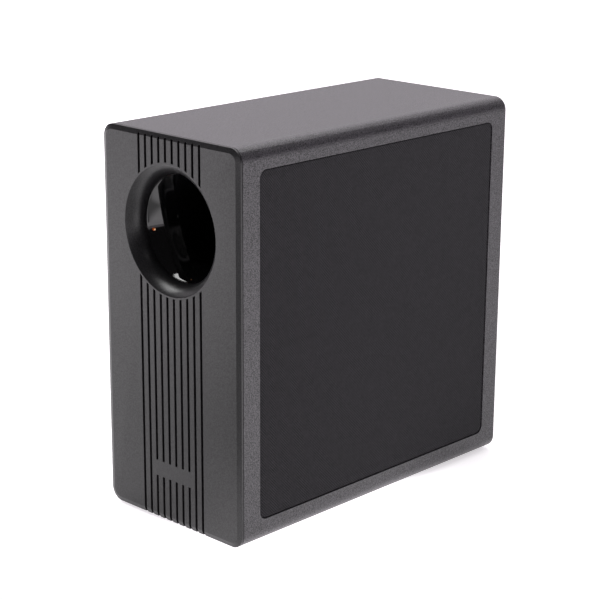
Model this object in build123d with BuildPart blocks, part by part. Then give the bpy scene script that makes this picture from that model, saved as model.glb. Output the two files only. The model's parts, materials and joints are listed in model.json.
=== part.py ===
from build123d import *
import math
import os

# Active subwoofer: a slim upright cabinet that stands on four low feet. The driver fires to the
# right behind a cloth grille, the port opens in the grooved front panel, and the amplifier is
# let into the rear. Millimetres. +Z is up, -Y is the front, +X is the grille side, and the
# origin lies on the floor under the middle of the body.

os.makedirs("parts", exist_ok=True)

# ---- body
body_width = 203.0
body_depth = 417.0
body_height = 417.0
foot_height = 3.0
edge_radius = 14.5          # the four long edges
rear_edge_radius = 3.5
board = 15.0                # left, top, bottom and front boards
side_frame = 16.0           # right wall, a frame around the grille
baffle_thickness = 18.0
rear_board = 15.0
rear_recess = 12.0          # rear board lies this far inside the rear rim
glue_gap = 0.02             # between round pieces that are bonded together

# ---- front panel
fascia_thickness = 4.8
facet_width = 5.4           # across the face
facet_depth = 1.8           # back from the face
seam_width = 0.6            # shadow gap between the front panel and the cabinet
seam_depth = 1.5
groove_count = 10
groove_pitch = 10.0
groove_width = 3.2
groove_depth = 3.2
groove_top_margin = 3.2     # round end of a groove, below the top of the body
blank_height = 17.5         # plain patch that interrupts the middle grooves
blank_bottom_margin = 48.0
blank_groove_count = 6
boss_radius = 4.0
boss_length = 8.0
boss_x = 58.0
boss_inset = 14.0
boss_second = 110.0

# ---- port
port_drop = 98.7            # port axis below the top of the body
port_rim_radius = 68.4
port_land = 1.9             # plain ring between the rim and the grooves
bell_end_radius = 57.0
bell_leave_angle = 63.0     # how far round its ellipse the bell runs before it meets the face
collar_wall = 3.0
collar_clearance = 1.0      # collar in the front board
horn_gap = 0.2              # dark line between the bell and the horn
horn_wall = 2.5
horn_throat_radius = 34.0
horn_mouth_angle = 38.7     # lean of its wall where it starts
horn_mouth_lead = 16.0      # how far the wall holds that lean
horn_throat_lead = 37.0     # how gently it settles into the throat
horn_length = 75.0          # from its flange to the throat
horn_flange_radius = 80.0
horn_flange_thickness = 3.0
spigot_length = 12.0
tube_wall = 2.9
tube_clearance = 0.1
tube_length = 197.0
flare_radius = 46.0
flare_length = 15.0

# ---- indicator lamp in the port
led_radius = 1.5
led_drop = 11.0             # below the port axis
led_share = 0.105           # place along the horn's curve, mouth 0 and throat 1
led_length = 6.4
led_stand = 1.3             # lens proud of the leaning wall
led_boss_wall = 2.5
led_board_thickness = 1.2
led_board_offset = 3.6      # its middle lies behind the lamp

# ---- driver
brace_gap = 5.8             # shelf brace below the port tube
brace_thickness = 12.0
brace_overlap = 18.0        # ahead of the front end of the tube
brace_hole_radius = 19.0
brace_hole_pitch = (48.0, 52.0)
brace_hole_count = (3, 4)
driver_gap = 10.0           # driver cut-out below the shelf brace
cutout_radius = 93.0
flange_overlap = 15.0
flange_thickness = 1.5
gasket_thickness = 1.0
rebate_depth = 4.0
rebate_clearance = 0.5
sheet = 1.5                 # basket metal
roll_radius = 7.0
surround_thickness = 0.7
former_radius = 25.6        # outside
former_wall = 0.3
pole_clearance = 0.4
coil_thickness = 0.8
coil_length = 22.0
coil_clearance = 0.5
plate_radius = 45.0
plate_thickness = 8.0
magnet_radius = 55.0
magnet_bore_radius = 30.0
magnet_thickness = 18.0
yoke_radius = 48.0
yoke_thickness = 8.0
vent_radius = 6.0
spider_radius = 64.0
driver_depth = 88.0         # front of the baffle to the back of the yoke
cone_depth = 32.0
spider_drop = 2.5           # spider below the neck of the cone
dome_radius = 32.0
dome_height = 8.0

# ---- grille
window_margin_front = 27.9
window_margin_rear = 25.3
window_margin_top = 24.2
window_margin_bottom = 25.3
window_corner_radius = 9.0
grille_clearance = 1.0
grille_recess = 0.8
cloth_thickness = 0.5
grille_thickness = 8.2
grille_bar = 16.0
cross_bar_width = 12.0
peg_radius = 3.0
peg_running_clearance = 0.05
peg_inset = 11.0
peg_corner_offset = 30.0
grommet_radius = 6.0
grommet_flange = 2.0

# ---- amplifier at the rear
amp_plate_width = 130.0
amp_plate_height = 230.0
amp_plate_thickness = 2.0
amp_plate_bottom = 37.0     # above the bottom of the body
amp_land = 8.0              # strip of plate that seals on the rear board
control_row = 85.0          # above the middle of the plate
socket_row = 48.0
power_row = -85.0
control_x = 32.0
power_x = 30.0
knob_radius = 10.0
knob_height = 8.6
spindle_radius = 3.0
spindle_clearance = 0.05
sleeve_radius = 4.15        # phono socket
sleeve_length = 8.0
phase_travel = 4.0
button_travel = 1.0
rocker_tilt = 10.0          # each way from level
housing_depth = 59.5

# ---- fasteners: head radius, head height and shank radius
fascia_screw_head = (3.2, 2.2)
fascia_screw_radius = 1.7
port_screw_head = (3.5, 2.5)
port_screw_radius = 1.75
port_screw_circle = 73.0
driver_screw_head = (3.2, 2.2)
driver_screw_radius = 2.0
driver_screw_length = 14.0
driver_screw_offset = 10.5  # outside the driver cut-out
amp_screw_head = (3.4, 2.0)
amp_screw_radius = 1.75
amp_screw_length = 12.0
foot_screw_head = (3.4, 1.2)
foot_screw_radius = 1.8
foot_screw_length = 12.0
screw_hole_clearance = 0.3

# ---- feet, saddle and wadding
foot_radius = 12.0
foot_inset_x = 28.5
foot_inset_y = 30.5
foot_screw_seat_z = 1.8
foot_well_radius = 4.0
saddle_width = 60.0
saddle_depth = 20.0
saddle_rise = 16.0          # above the underside of the tube
wadding_thickness = 12.0
wadding_length = 270.0
wadding_corner_radius = 12.0

# ---- places that follow from the sizes above
left_x = -body_width / 2
right_x = body_width / 2
front_y = -body_depth / 2
rear_y = body_depth / 2
bottom_z = foot_height
top_z = foot_height + body_height
middle_z = (bottom_z + top_z) / 2
shell_front_y = front_y + fascia_thickness
inner_left_x = left_x + board
inner_right_x = right_x - side_frame
inner_bottom_z = bottom_z + board
inner_top_z = top_z - board
inner_width = inner_right_x - inner_left_x
inner_height = inner_top_z - inner_bottom_z
inner_middle_x = (inner_left_x + inner_right_x) / 2
board_rear_y = shell_front_y + board
baffle_back_x = inner_right_x - baffle_thickness
rear_face_y = rear_y - rear_recess
rear_board_y = rear_face_y - rear_board

port_z = top_z - port_drop
bell_y = board_rear_y - horn_gap
bell_depth = bell_y - front_y
horn_y = board_rear_y       # the horn's flange seats on the front board
throat_y = horn_y + horn_length
tube_y = throat_y + 3.0
tube_inner_radius = horn_throat_radius + horn_wall + tube_clearance
tube_radius = tube_inner_radius + tube_wall
tube_end_y = tube_y + tube_length

brace_top_z = port_z - tube_radius - brace_gap
brace_bottom_z = brace_top_z - brace_thickness
driver_z = brace_bottom_z - driver_gap - cutout_radius
driver_y = 0.0
seat_x = inner_right_x - rebate_depth
flange_back_x = seat_x + gasket_thickness
flange_front_x = flange_back_x + flange_thickness
flange_radius = cutout_radius + flange_overlap
driver_screw_circle = cutout_radius + driver_screw_offset

window_front_y = front_y + window_margin_front
window_rear_y = rear_y - window_margin_rear
window_bottom_z = bottom_z + window_margin_bottom
window_top_z = top_z - window_margin_top
window_middle = ((window_front_y + window_rear_y) / 2, (window_bottom_z + window_top_z) / 2)
window_length = window_rear_y - window_front_y
window_height = window_top_z - window_bottom_z

plate_middle_z = bottom_z + amp_plate_bottom + amp_plate_height / 2
plate_front_y = rear_face_y - amp_plate_thickness
cutout_width = amp_plate_width - 2 * amp_land
cutout_height = amp_plate_height - 2 * amp_land
control_z = plate_middle_z + control_row
socket_z = plate_middle_z + socket_row
power_z = plate_middle_z + power_row


def front_plane(y):
    """Sketch plane at depth y that reads x and z; a negative extrude runs to the rear."""
    return Plane.XZ.offset(-y)


def side_plane(x):
    """Sketch plane at x that reads y and z; a positive extrude runs to the grille side."""
    return Plane.YZ.offset(x)


def turned_along_y(x, z):
    """Half-section of a piece turned about a line along Y: radius first, then depth y."""
    return Plane(origin=(x, 0, z), x_dir=(1, 0, 0), z_dir=(0, 0, 1))


def turning_line(section):
    """The line along Y that such a half-section turns about."""
    return Axis(section.origin, section.y_dir)


def screw_group(plane, points, head, shank_radius, shank_length, out):
    """Identical cross-head screws on a seat plane, heads on its normal side when out is 1."""
    head_radius, head_height = head
    with BuildPart() as screws:
        with BuildSketch(plane):
            with Locations(*points):
                Circle(head_radius)
        extrude(amount=out * head_height)
        with BuildSketch(plane):
            with Locations(*points):
                Circle(shank_radius)
        extrude(amount=-out * shank_length)
        with BuildSketch(plane.offset(out * head_height)):
            with Locations(*points):
                Rectangle(head_radius * 1.2, head_radius * 0.28)
                Rectangle(head_radius * 0.28, head_radius * 1.2)
        extrude(amount=-out * head_height * 0.55, mode=Mode.SUBTRACT)
    return screws


pieces = {}

# ==== cabinet shell: one rounded ring, mitred into four panels

foot_points = [
    (sx * (body_width / 2 - foot_inset_x), sy * (body_depth / 2 - foot_inset_y))
    for sx in (-1, 1)
    for sy in (-1, 1)
]

with BuildPart() as shell_ring:
    with BuildSketch(front_plane(shell_front_y)):
        with Locations((0, middle_z)):
            RectangleRounded(body_width, body_height, edge_radius)
    extrude(amount=shell_front_y - rear_y)
    fillet(shell_ring.faces().sort_by(Axis.Y)[-1].outer_wire().edges(), rear_edge_radius)
    with BuildSketch(front_plane(shell_front_y)):
        with Locations((inner_middle_x, middle_z)):
            Rectangle(inner_width, inner_height)
    extrude(amount=shell_front_y - rear_y, mode=Mode.SUBTRACT)
    with BuildSketch(side_plane(inner_right_x)):
        with Locations(window_middle):
            RectangleRounded(window_length, window_height, window_corner_radius)
    extrude(amount=side_frame, mode=Mode.SUBTRACT)
    with BuildSketch(Plane.XY.offset(bottom_z)):
        with Locations(*foot_points):
            Circle(foot_screw_radius + glue_gap)
    extrude(amount=board - 3, mode=Mode.SUBTRACT)

outer_corners = {
    "left_low": Vector(left_x, bottom_z),
    "right_low": Vector(right_x, bottom_z),
    "right_high": Vector(right_x, top_z),
    "left_high": Vector(left_x, top_z),
}
inner_corners = {
    "left_low": Vector(inner_left_x, inner_bottom_z),
    "right_low": Vector(inner_right_x, inner_bottom_z),
    "right_high": Vector(inner_right_x, inner_top_z),
    "left_high": Vector(inner_left_x, inner_top_z),
}
panel_corners = {
    "top_panel": ("left_high", "right_high"),
    "bottom_panel": ("right_low", "left_low"),
    "left_panel": ("left_low", "left_high"),
    "right_panel": ("right_high", "right_low"),
}

for panel_name, (first, second) in panel_corners.items():
    beyond_first = outer_corners[first] * 1.5 - inner_corners[first] * 0.5
    beyond_second = outer_corners[second] * 1.5 - inner_corners[second] * 0.5
    with BuildPart() as panel:
        add(shell_ring.part)
        with BuildSketch(front_plane(shell_front_y)):
            with BuildLine():
                Polyline(
                    inner_corners[first],
                    beyond_first,
                    beyond_second,
                    inner_corners[second],
                    close=True,
                )
            make_face()
        extrude(amount=shell_front_y - rear_y, mode=Mode.INTERSECT)
    pieces[panel_name] = panel

# ==== front board, behind the front panel

port_section = turned_along_y(0, port_z)
port_axis = turning_line(port_section)
bell_reach = 1 - math.cos(math.radians(bell_leave_angle))
bell_radial = (port_rim_radius - bell_end_radius) / bell_reach
bell_axial = bell_depth / math.sin(math.radians(bell_leave_angle))
collar_root_radius = bell_end_radius + bell_radial * (
    1 - math.cos(math.asin((bell_y - shell_front_y) / bell_axial))
) + collar_wall
boss_points = [
    (side * boss_x, z)
    for side in (-1, 1)
    for z in (
        inner_bottom_z + boss_inset,
        inner_bottom_z + boss_second,
        port_z - horn_flange_radius - boss_inset,
        inner_top_z - boss_inset,
    )
]
port_screw_points = [
    (
        port_screw_circle * math.cos(math.radians(angle)),
        port_z + port_screw_circle * math.sin(math.radians(angle)),
    )
    for angle in (60, 120, 240, 300)
]
port_screw_length = horn_flange_thickness + board - 4

with BuildPart() as front_board:
    with BuildSketch(front_plane(shell_front_y)):
        with Locations((inner_middle_x, middle_z)):
            Rectangle(inner_width, inner_height)
        with Locations((0, port_z)):
            Circle(collar_root_radius + collar_clearance, mode=Mode.SUBTRACT)
        with Locations(*boss_points):
            Circle(fascia_screw_radius + 0.5, mode=Mode.SUBTRACT)
    extrude(amount=-board)
    with BuildSketch(front_plane(shell_front_y)):
        with Locations(*boss_points):
            Circle(boss_radius + 0.3)
    extrude(amount=-(boss_length + 0.3), mode=Mode.SUBTRACT)
    with BuildSketch(front_plane(board_rear_y)):
        with Locations(*port_screw_points):
            Circle(port_screw_radius + glue_gap)
    extrude(amount=port_screw_length - horn_flange_thickness + 0.5, mode=Mode.SUBTRACT)
pieces["front_board"] = front_board

# ==== front panel: grooved face, facet, shadow gap, bell mouth and screw bosses

groove_top_z = top_z - groove_top_margin - groove_width / 2
groove_start_z = bottom_z - 1
groove_xs = [(i - (groove_count - 1) / 2) * groove_pitch for i in range(groove_count)]
blank_middle_z = bottom_z + blank_bottom_margin + blank_height / 2
blank_width = (blank_groove_count - 1) * groove_pitch + groove_width + 2

with BuildPart() as front_panel:
    with BuildSketch(front_plane(front_y)):
        with Locations((0, middle_z)):
            RectangleRounded(body_width, body_height, edge_radius)
    extrude(amount=-fascia_thickness)
    front_face = front_panel.faces().sort_by(Axis.Y)[0]
    chamfer(front_face.outer_wire().edges(), length=facet_width, length2=facet_depth, reference=front_face)
    with BuildSketch(front_plane(shell_front_y - seam_width)):
        with Locations((0, middle_z)):
            Rectangle(body_width + 2, body_height + 2)
            RectangleRounded(
                body_width - 2 * seam_depth,
                body_height - 2 * seam_depth,
                edge_radius - seam_depth,
                mode=Mode.SUBTRACT,
            )
    extrude(amount=-seam_width, mode=Mode.SUBTRACT)
    with BuildSketch(front_plane(front_y)):
        with Locations(*[(x, (groove_start_z + groove_top_z) / 2) for x in groove_xs]):
            Rectangle(groove_width, groove_top_z - groove_start_z)
        with Locations(*[(x, groove_top_z) for x in groove_xs]):
            Circle(groove_width / 2)
        with Locations((0, port_z)):
            Circle(port_rim_radius + port_land, mode=Mode.SUBTRACT)
        with Locations((0, blank_middle_z)):
            Rectangle(blank_width, blank_height, mode=Mode.SUBTRACT)
    extrude(amount=-groove_depth, mode=Mode.SUBTRACT)
    with BuildSketch(port_section):
        with BuildLine():
            Polyline(
                (0, shell_front_y - 1),
                (collar_root_radius, shell_front_y - 1),
                (collar_root_radius, shell_front_y),
                (bell_end_radius + collar_wall, bell_y),
                (0, bell_y),
                close=True,
            )
        make_face()
    revolve(axis=port_axis)
    with BuildSketch(port_section):
        with BuildLine():
            bell = EllipticalCenterArc(
                (bell_end_radius + bell_radial, bell_y),
                bell_radial,
                bell_axial,
                start_angle=180,
                arc_size=bell_leave_angle,
            )
            Polyline(bell @ 1, (0, front_y), (0, bell_y), bell @ 0)
        make_face()
    revolve(axis=port_axis, mode=Mode.SUBTRACT)
    with BuildSketch(front_plane(shell_front_y)):
        with Locations(*boss_points):
            Circle(boss_radius)
            Circle(fascia_screw_radius + glue_gap, mode=Mode.SUBTRACT)
    extrude(amount=-boss_length)
pieces["front_panel"] = front_panel

pieces["fascia_screws"] = screw_group(
    front_plane(board_rear_y), boss_points, fascia_screw_head, fascia_screw_radius, board - 1, -1
)

# ==== reflex port: gloss horn, tube and inner flare

horn_push = horn_wall / math.cos(math.radians(horn_mouth_angle))
horn_fall = horn_mouth_lead * math.tan(math.radians(horn_mouth_angle))
horn_curve = [
    (bell_end_radius, horn_y),
    (bell_end_radius - horn_fall, horn_y + horn_mouth_lead),
    (horn_throat_radius, throat_y - horn_throat_lead),
    (horn_throat_radius, throat_y),
]
led_weights = [
    (1 - led_share) ** 3,
    3 * led_share * (1 - led_share) ** 2,
    3 * led_share**2 * (1 - led_share),
    led_share**3,
]
led_wall_radius = sum(weight * point[0] for weight, point in zip(led_weights, horn_curve))
led_y = sum(weight * point[1] for weight, point in zip(led_weights, horn_curve))
led_z = port_z - led_drop
led_face_x = -math.sqrt(led_wall_radius**2 - led_drop**2)
led_back_x = led_face_x - led_length
flange_side_clearance = 1.5

with BuildPart() as port_horn:
    with BuildSketch(port_section):
        with BuildLine():
            Bezier(*horn_curve)
            Polyline(
                (horn_throat_radius, throat_y),
                (horn_throat_radius, tube_y + spigot_length),
                (horn_throat_radius + horn_wall, tube_y + spigot_length),
                (horn_throat_radius + horn_wall, tube_y),
                (tube_radius, tube_y),
                (tube_radius, throat_y - horn_wall),
            )
            Bezier(
                (tube_radius, throat_y - horn_wall),
                (tube_radius, throat_y - horn_throat_lead),
                (bell_end_radius + horn_push - horn_fall, horn_y + horn_mouth_lead),
                (bell_end_radius + horn_push, horn_y),
            )
            Line((bell_end_radius + horn_push, horn_y), (bell_end_radius, horn_y))
        make_face()
    revolve(axis=port_axis)
    with BuildSketch(port_section):
        with BuildLine():
            flange_inside = bell_end_radius + horn_push / 2
            flange_lean = horn_flange_thickness * math.tan(math.radians(horn_mouth_angle))
            Polyline(
                (flange_inside, horn_y),
                (horn_flange_radius, horn_y),
                (horn_flange_radius, horn_y + horn_flange_thickness),
                (flange_inside - flange_lean, horn_y + horn_flange_thickness),
                close=True,
            )
        make_face()
    revolve(axis=port_axis)
    with BuildSketch(side_plane(led_back_x)):
        with Locations((led_y, led_z)):
            Circle(led_radius + led_boss_wall)
    extrude(amount=led_length + led_boss_wall)
    with BuildSketch(port_section):
        with BuildLine():
            Bezier(*horn_curve)
            Polyline((horn_throat_radius, throat_y), (0, throat_y), (0, horn_y), (bell_end_radius, horn_y))
        make_face()
    revolve(axis=port_axis, mode=Mode.SUBTRACT)
    with BuildSketch(side_plane(led_back_x)):
        with Locations((led_y, led_z)):
            Circle(led_radius + glue_gap)
    extrude(amount=led_length + 4, mode=Mode.SUBTRACT)
    with BuildSketch(front_plane(horn_y)):
        with Locations(*port_screw_points):
            Circle(port_screw_radius + screw_hole_clearance)
    extrude(amount=-horn_flange_thickness, mode=Mode.SUBTRACT)
    with BuildSketch(front_plane(horn_y)):
        with Locations((inner_middle_x, port_z)):
            Rectangle(4 * horn_flange_radius, 4 * horn_flange_radius)
        with Locations(((inner_left_x + baffle_back_x) / 2, port_z)):
            Rectangle(
                baffle_back_x - inner_left_x - 2 * flange_side_clearance,
                3 * horn_flange_radius,
                mode=Mode.SUBTRACT,
            )
    extrude(amount=-horn_flange_thickness, mode=Mode.SUBTRACT)
pieces["port_horn"] = port_horn

pieces["port_screws"] = screw_group(
    front_plane(horn_y + horn_flange_thickness),
    port_screw_points,
    port_screw_head,
    port_screw_radius,
    port_screw_length,
    -1,
)

with BuildPart() as port_tube:
    with BuildSketch(front_plane(tube_y)):
        with Locations((0, port_z)):
            Circle(tube_radius)
            Circle(tube_inner_radius, mode=Mode.SUBTRACT)
    extrude(amount=-tube_length)
pieces["port_tube"] = port_tube

with BuildPart() as port_inner_flare:
    with BuildSketch(port_section):
        with BuildLine():
            inside = EllipticalCenterArc(
                (flare_radius, tube_end_y),
                flare_radius - horn_throat_radius,
                flare_length,
                start_angle=180,
                arc_size=-90,
            )
            Polyline(
                inside @ 1,
                (flare_radius + tube_wall, tube_end_y + flare_length),
                (tube_radius, tube_end_y + 3),
                (tube_radius, tube_end_y),
                (horn_throat_radius + horn_wall, tube_end_y),
                (horn_throat_radius + horn_wall, tube_end_y - spigot_length),
                (horn_throat_radius, tube_end_y - spigot_length),
                inside @ 0,
            )
        make_face()
    revolve(axis=port_axis)
pieces["port_inner_flare"] = port_inner_flare

with BuildPart() as status_led:
    with BuildSketch(side_plane(led_back_x)):
        with Locations((led_y, led_z)):
            Circle(led_radius)
    extrude(amount=led_length + led_stand)
    fillet(status_led.faces().sort_by(Axis.X)[-1].edges(), led_radius * 0.6)
pieces["status_led"] = status_led

with BuildPart() as led_board:
    with BuildSketch(side_plane(led_back_x - led_board_thickness)):
        with Locations((led_y + led_board_offset, led_z)):
            RectangleRounded(10, 16, 1)
    extrude(amount=led_board_thickness)
pieces["led_board"] = led_board

# ==== shelf brace and saddle under the tube

brace_front_y = tube_y - brace_overlap
brace_rear_y = tube_end_y
brace_middle = ((inner_left_x + baffle_back_x) / 2, (brace_front_y + brace_rear_y) / 2)

with BuildPart() as shelf_brace:
    with BuildSketch(Plane.XY.offset(brace_bottom_z)):
        with Locations(brace_middle):
            Rectangle(baffle_back_x - inner_left_x, brace_rear_y - brace_front_y)
            with GridLocations(*brace_hole_pitch, *brace_hole_count):
                Circle(brace_hole_radius, mode=Mode.SUBTRACT)
    extrude(amount=brace_thickness)
pieces["shelf_brace"] = shelf_brace

with BuildPart() as tube_saddle:
    with BuildSketch(front_plane(tube_end_y - spigot_length - 2 * saddle_depth)):
        with Locations((0, brace_top_z)):
            Rectangle(saddle_width, brace_gap + saddle_rise, align=(Align.CENTER, Align.MIN))
        with Locations((0, port_z)):
            Circle(tube_radius + glue_gap, mode=Mode.SUBTRACT)
    extrude(amount=-saddle_depth)
pieces["tube_saddle"] = tube_saddle

# ==== driver baffle with its cut-out, rebate and grille sockets

peg_points = [
    (y, z)
    for y in (window_front_y + peg_inset, window_rear_y - peg_inset)
    for z in (
        window_bottom_z + peg_corner_offset,
        driver_z + flange_radius + cross_bar_width,
        window_top_z - peg_corner_offset,
    )
]
grommet_hole_depth = 10.0
driver_screw_points = [
    (
        driver_y + driver_screw_circle * math.cos(math.radians(22.5 + 45 * i)),
        driver_z + driver_screw_circle * math.sin(math.radians(22.5 + 45 * i)),
    )
    for i in range(8)
]

with BuildPart() as driver_baffle:
    with BuildSketch(side_plane(baffle_back_x)):
        with Locations(((board_rear_y + rear_board_y) / 2, middle_z)):
            Rectangle(rear_board_y - board_rear_y, inner_height)
        with Locations((driver_y, driver_z)):
            Circle(cutout_radius, mode=Mode.SUBTRACT)
    extrude(amount=baffle_thickness)
    with BuildSketch(side_plane(inner_right_x)):
        with Locations((driver_y, driver_z)):
            Circle(flange_radius + rebate_clearance)
    extrude(amount=-rebate_depth, mode=Mode.SUBTRACT)
    with BuildSketch(side_plane(inner_right_x)):
        with Locations(*peg_points):
            Circle(grommet_radius + glue_gap)
    extrude(amount=-grommet_hole_depth, mode=Mode.SUBTRACT)
    with BuildSketch(side_plane(seat_x)):
        with Locations(*driver_screw_points):
            Circle(driver_screw_radius + glue_gap)
    extrude(amount=-(driver_screw_length - 2), mode=Mode.SUBTRACT)
pieces["driver_baffle"] = driver_baffle

# ==== driver: a paper cone on a pressed basket, firing along +X

driver_section = Plane(origin=(0, driver_y, driver_z), x_dir=(1, 0, 0), z_dir=(0, 0, 1))
driver_axis = Axis((0, driver_y, driver_z), (1, 0, 0))
yoke_back_x = inner_right_x - driver_depth
yoke_front_x = yoke_back_x + yoke_thickness
magnet_front_x = yoke_front_x + magnet_thickness
top_plate_front_x = magnet_front_x + plate_thickness
basket_base_x = top_plate_front_x
ledge_inner_radius = spider_radius - 9
ledge_outer_radius = spider_radius + 4
basket_wall_radius = cutout_radius - 1
basket_knee_x = flange_back_x - 16.5
roll_outer_radius = cutout_radius + 3
roll_middle_radius = roll_outer_radius - roll_radius
cone_radius = roll_outer_radius - 2 * roll_radius - 0.2
surround_edge_radius = roll_outer_radius + 3.6
cone_front_x = flange_front_x
spider_x = cone_front_x - cone_depth - spider_drop
lip_thickness = 0.7
lip_inner_radius = cone_radius - 4.2
neck_front_x = cone_front_x - cone_depth + 1.2
cone_slope = (cone_front_x - neck_front_x) / (lip_inner_radius - former_radius)

with BuildPart() as driver_gasket:
    with BuildSketch(side_plane(seat_x)):
        with Locations((driver_y, driver_z)):
            Circle(flange_radius)
            Circle(cutout_radius, mode=Mode.SUBTRACT)
        with Locations(*driver_screw_points):
            Circle(driver_screw_radius + screw_hole_clearance, mode=Mode.SUBTRACT)
    extrude(amount=gasket_thickness)
pieces["driver_gasket"] = driver_gasket

with BuildPart() as driver_basket:
    with BuildSketch(driver_section):
        with BuildLine():
            Polyline(
                (flange_front_x, flange_radius),
                (flange_back_x, flange_radius),
                (flange_back_x, basket_wall_radius),
                (basket_knee_x, basket_wall_radius),
                (spider_x - sheet, ledge_outer_radius),
                (spider_x - sheet, ledge_inner_radius + sheet),
                (basket_base_x + sheet, ledge_inner_radius + sheet),
                (basket_base_x, ledge_inner_radius + sheet),
                (basket_base_x, magnet_bore_radius),
                (basket_base_x + sheet, magnet_bore_radius),
                (basket_base_x + sheet, ledge_inner_radius),
                (spider_x, ledge_inner_radius),
                (spider_x, ledge_outer_radius - 0.4),
                (basket_knee_x + 0.6, basket_wall_radius - sheet),
                (flange_front_x, basket_wall_radius - sheet),
                close=True,
            )
        make_face()
    revolve(axis=driver_axis)
    with BuildSketch(side_plane(spider_x - sheet - 1)):
        with Locations((driver_y, driver_z)):
            Circle(basket_wall_radius - sheet - 1)
            Circle(ledge_outer_radius + 2, mode=Mode.SUBTRACT)
            with PolarLocations(0, 6, start_angle=30):
                Rectangle(2 * cutout_radius, 22, align=(Align.MIN, Align.CENTER), mode=Mode.SUBTRACT)
    extrude(amount=basket_knee_x - spider_x + 2, mode=Mode.SUBTRACT)
    with BuildSketch(side_plane(flange_back_x)):
        with Locations(*driver_screw_points):
            Circle(driver_screw_radius + screw_hole_clearance)
    extrude(amount=flange_thickness, mode=Mode.SUBTRACT)
pieces["driver_basket"] = driver_basket

pieces["driver_screws"] = screw_group(
    side_plane(flange_front_x),
    driver_screw_points,
    driver_screw_head,
    driver_screw_radius,
    driver_screw_length,
    1,
)

with BuildPart() as trim_ring:
    with BuildSketch(driver_section):
        with BuildLine():
            Polyline(
                (flange_front_x, surround_edge_radius + 0.1),
                (flange_front_x, surround_edge_radius + 0.7),
                (flange_front_x + 1.8, surround_edge_radius + 0.3),
                (flange_front_x + 1.8, roll_outer_radius + 1.6),
                (flange_front_x + surround_thickness, roll_outer_radius + 0.6),
                (flange_front_x + surround_thickness, surround_edge_radius + 0.1),
                close=True,
            )
        make_face()
    revolve(axis=driver_axis)
pieces["trim_ring"] = trim_ring

with BuildPart() as surround:
    with BuildSketch(driver_section):
        with Locations((flange_front_x, roll_middle_radius)):
            Circle(roll_radius)
            Circle(roll_radius - surround_thickness, mode=Mode.SUBTRACT)
            Rectangle(2 * roll_radius, 3 * roll_radius, align=(Align.MAX, Align.CENTER), mode=Mode.SUBTRACT)
        with Locations((flange_front_x, roll_outer_radius - surround_thickness)):
            Rectangle(surround_thickness, 3.6 + surround_thickness, align=(Align.MIN, Align.MIN))
        with Locations((flange_front_x, roll_middle_radius - roll_radius + surround_thickness)):
            Rectangle(surround_thickness, 4.0 + surround_thickness, align=(Align.MIN, Align.MAX))
    revolve(axis=driver_axis)
pieces["surround"] = surround

with BuildPart() as cone:
    with BuildSketch(driver_section):
        with BuildLine():
            Polyline(
                (cone_front_x - lip_thickness, cone_radius),
                (cone_front_x, cone_radius),
                (cone_front_x, lip_inner_radius),
                (neck_front_x, former_radius + glue_gap),
                (neck_front_x - 1.2, former_radius + glue_gap),
                (cone_front_x - lip_thickness, lip_inner_radius + 0.8),
                close=True,
            )
        make_face()
    revolve(axis=driver_axis)
pieces["cone"] = cone

dome_base_x = neck_front_x + cone_slope * (dome_radius - former_radius) + 0.65
dome_sphere = (dome_height**2 + dome_radius**2) / (2 * dome_height)
dome_centre_x = dome_base_x + dome_height - dome_sphere
dome_wall = 0.6
with BuildPart() as dust_cap:
    with BuildSketch(driver_section):
        with BuildLine():
            outside = CenterArc(
                (dome_centre_x, 0), dome_sphere, 0, math.degrees(math.asin(dome_radius / dome_sphere))
            )
            inside = CenterArc(
                (dome_centre_x, 0),
                dome_sphere - dome_wall,
                0,
                math.degrees(math.asin(dome_radius / dome_sphere)),
            )
            Line(outside @ 1, inside @ 1)
            Line(outside @ 0, inside @ 0)
        make_face()
    revolve(axis=driver_axis)
pieces["dust_cap"] = dust_cap

coil_middle_x = magnet_front_x + plate_thickness / 2
coil_back_x = coil_middle_x - coil_length / 2
with BuildPart() as voice_coil_former:
    with BuildSketch(side_plane(coil_back_x)):
        with Locations((driver_y, driver_z)):
            Circle(former_radius)
            Circle(former_radius - former_wall, mode=Mode.SUBTRACT)
    extrude(amount=neck_front_x + 1.5 - coil_back_x)
pieces["voice_coil_former"] = voice_coil_former

with BuildPart() as voice_coil:
    with BuildSketch(side_plane(coil_back_x)):
        with Locations((driver_y, driver_z)):
            Circle(former_radius + coil_thickness)
            Circle(former_radius + glue_gap, mode=Mode.SUBTRACT)
    extrude(amount=coil_length)
pieces["voice_coil"] = voice_coil

spider_wave = 1.2
spider_bottom_radius = former_radius + glue_gap
spider_flat_radius = ledge_inner_radius - 1
spider_cloth = 0.5
wave_samples = 33
wave_points = []
for i in range(wave_samples):
    along = i / (wave_samples - 1)
    wave_points.append(
        (
            spider_x + spider_wave * math.sin(8 * math.pi * along),
            spider_bottom_radius + (spider_flat_radius - spider_bottom_radius) * along,
        )
    )
with BuildPart() as spider:
    with BuildSketch(driver_section):
        with BuildLine():
            Spline(*wave_points)
            Spline(*[(x + spider_cloth, r) for x, r in wave_points])
            Line(wave_points[0], (wave_points[0][0] + spider_cloth, wave_points[0][1]))
            Polyline(
                wave_points[-1],
                (spider_x, spider_radius),
                (spider_x + spider_cloth, spider_radius),
                (spider_x + spider_cloth, spider_flat_radius),
            )
        make_face()
    revolve(axis=driver_axis)
pieces["spider"] = spider

with BuildPart() as top_plate:
    with BuildSketch(side_plane(magnet_front_x)):
        with Locations((driver_y, driver_z)):
            Circle(plate_radius)
            Circle(former_radius + coil_thickness + coil_clearance, mode=Mode.SUBTRACT)
    extrude(amount=plate_thickness)
pieces["top_plate"] = top_plate

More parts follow.
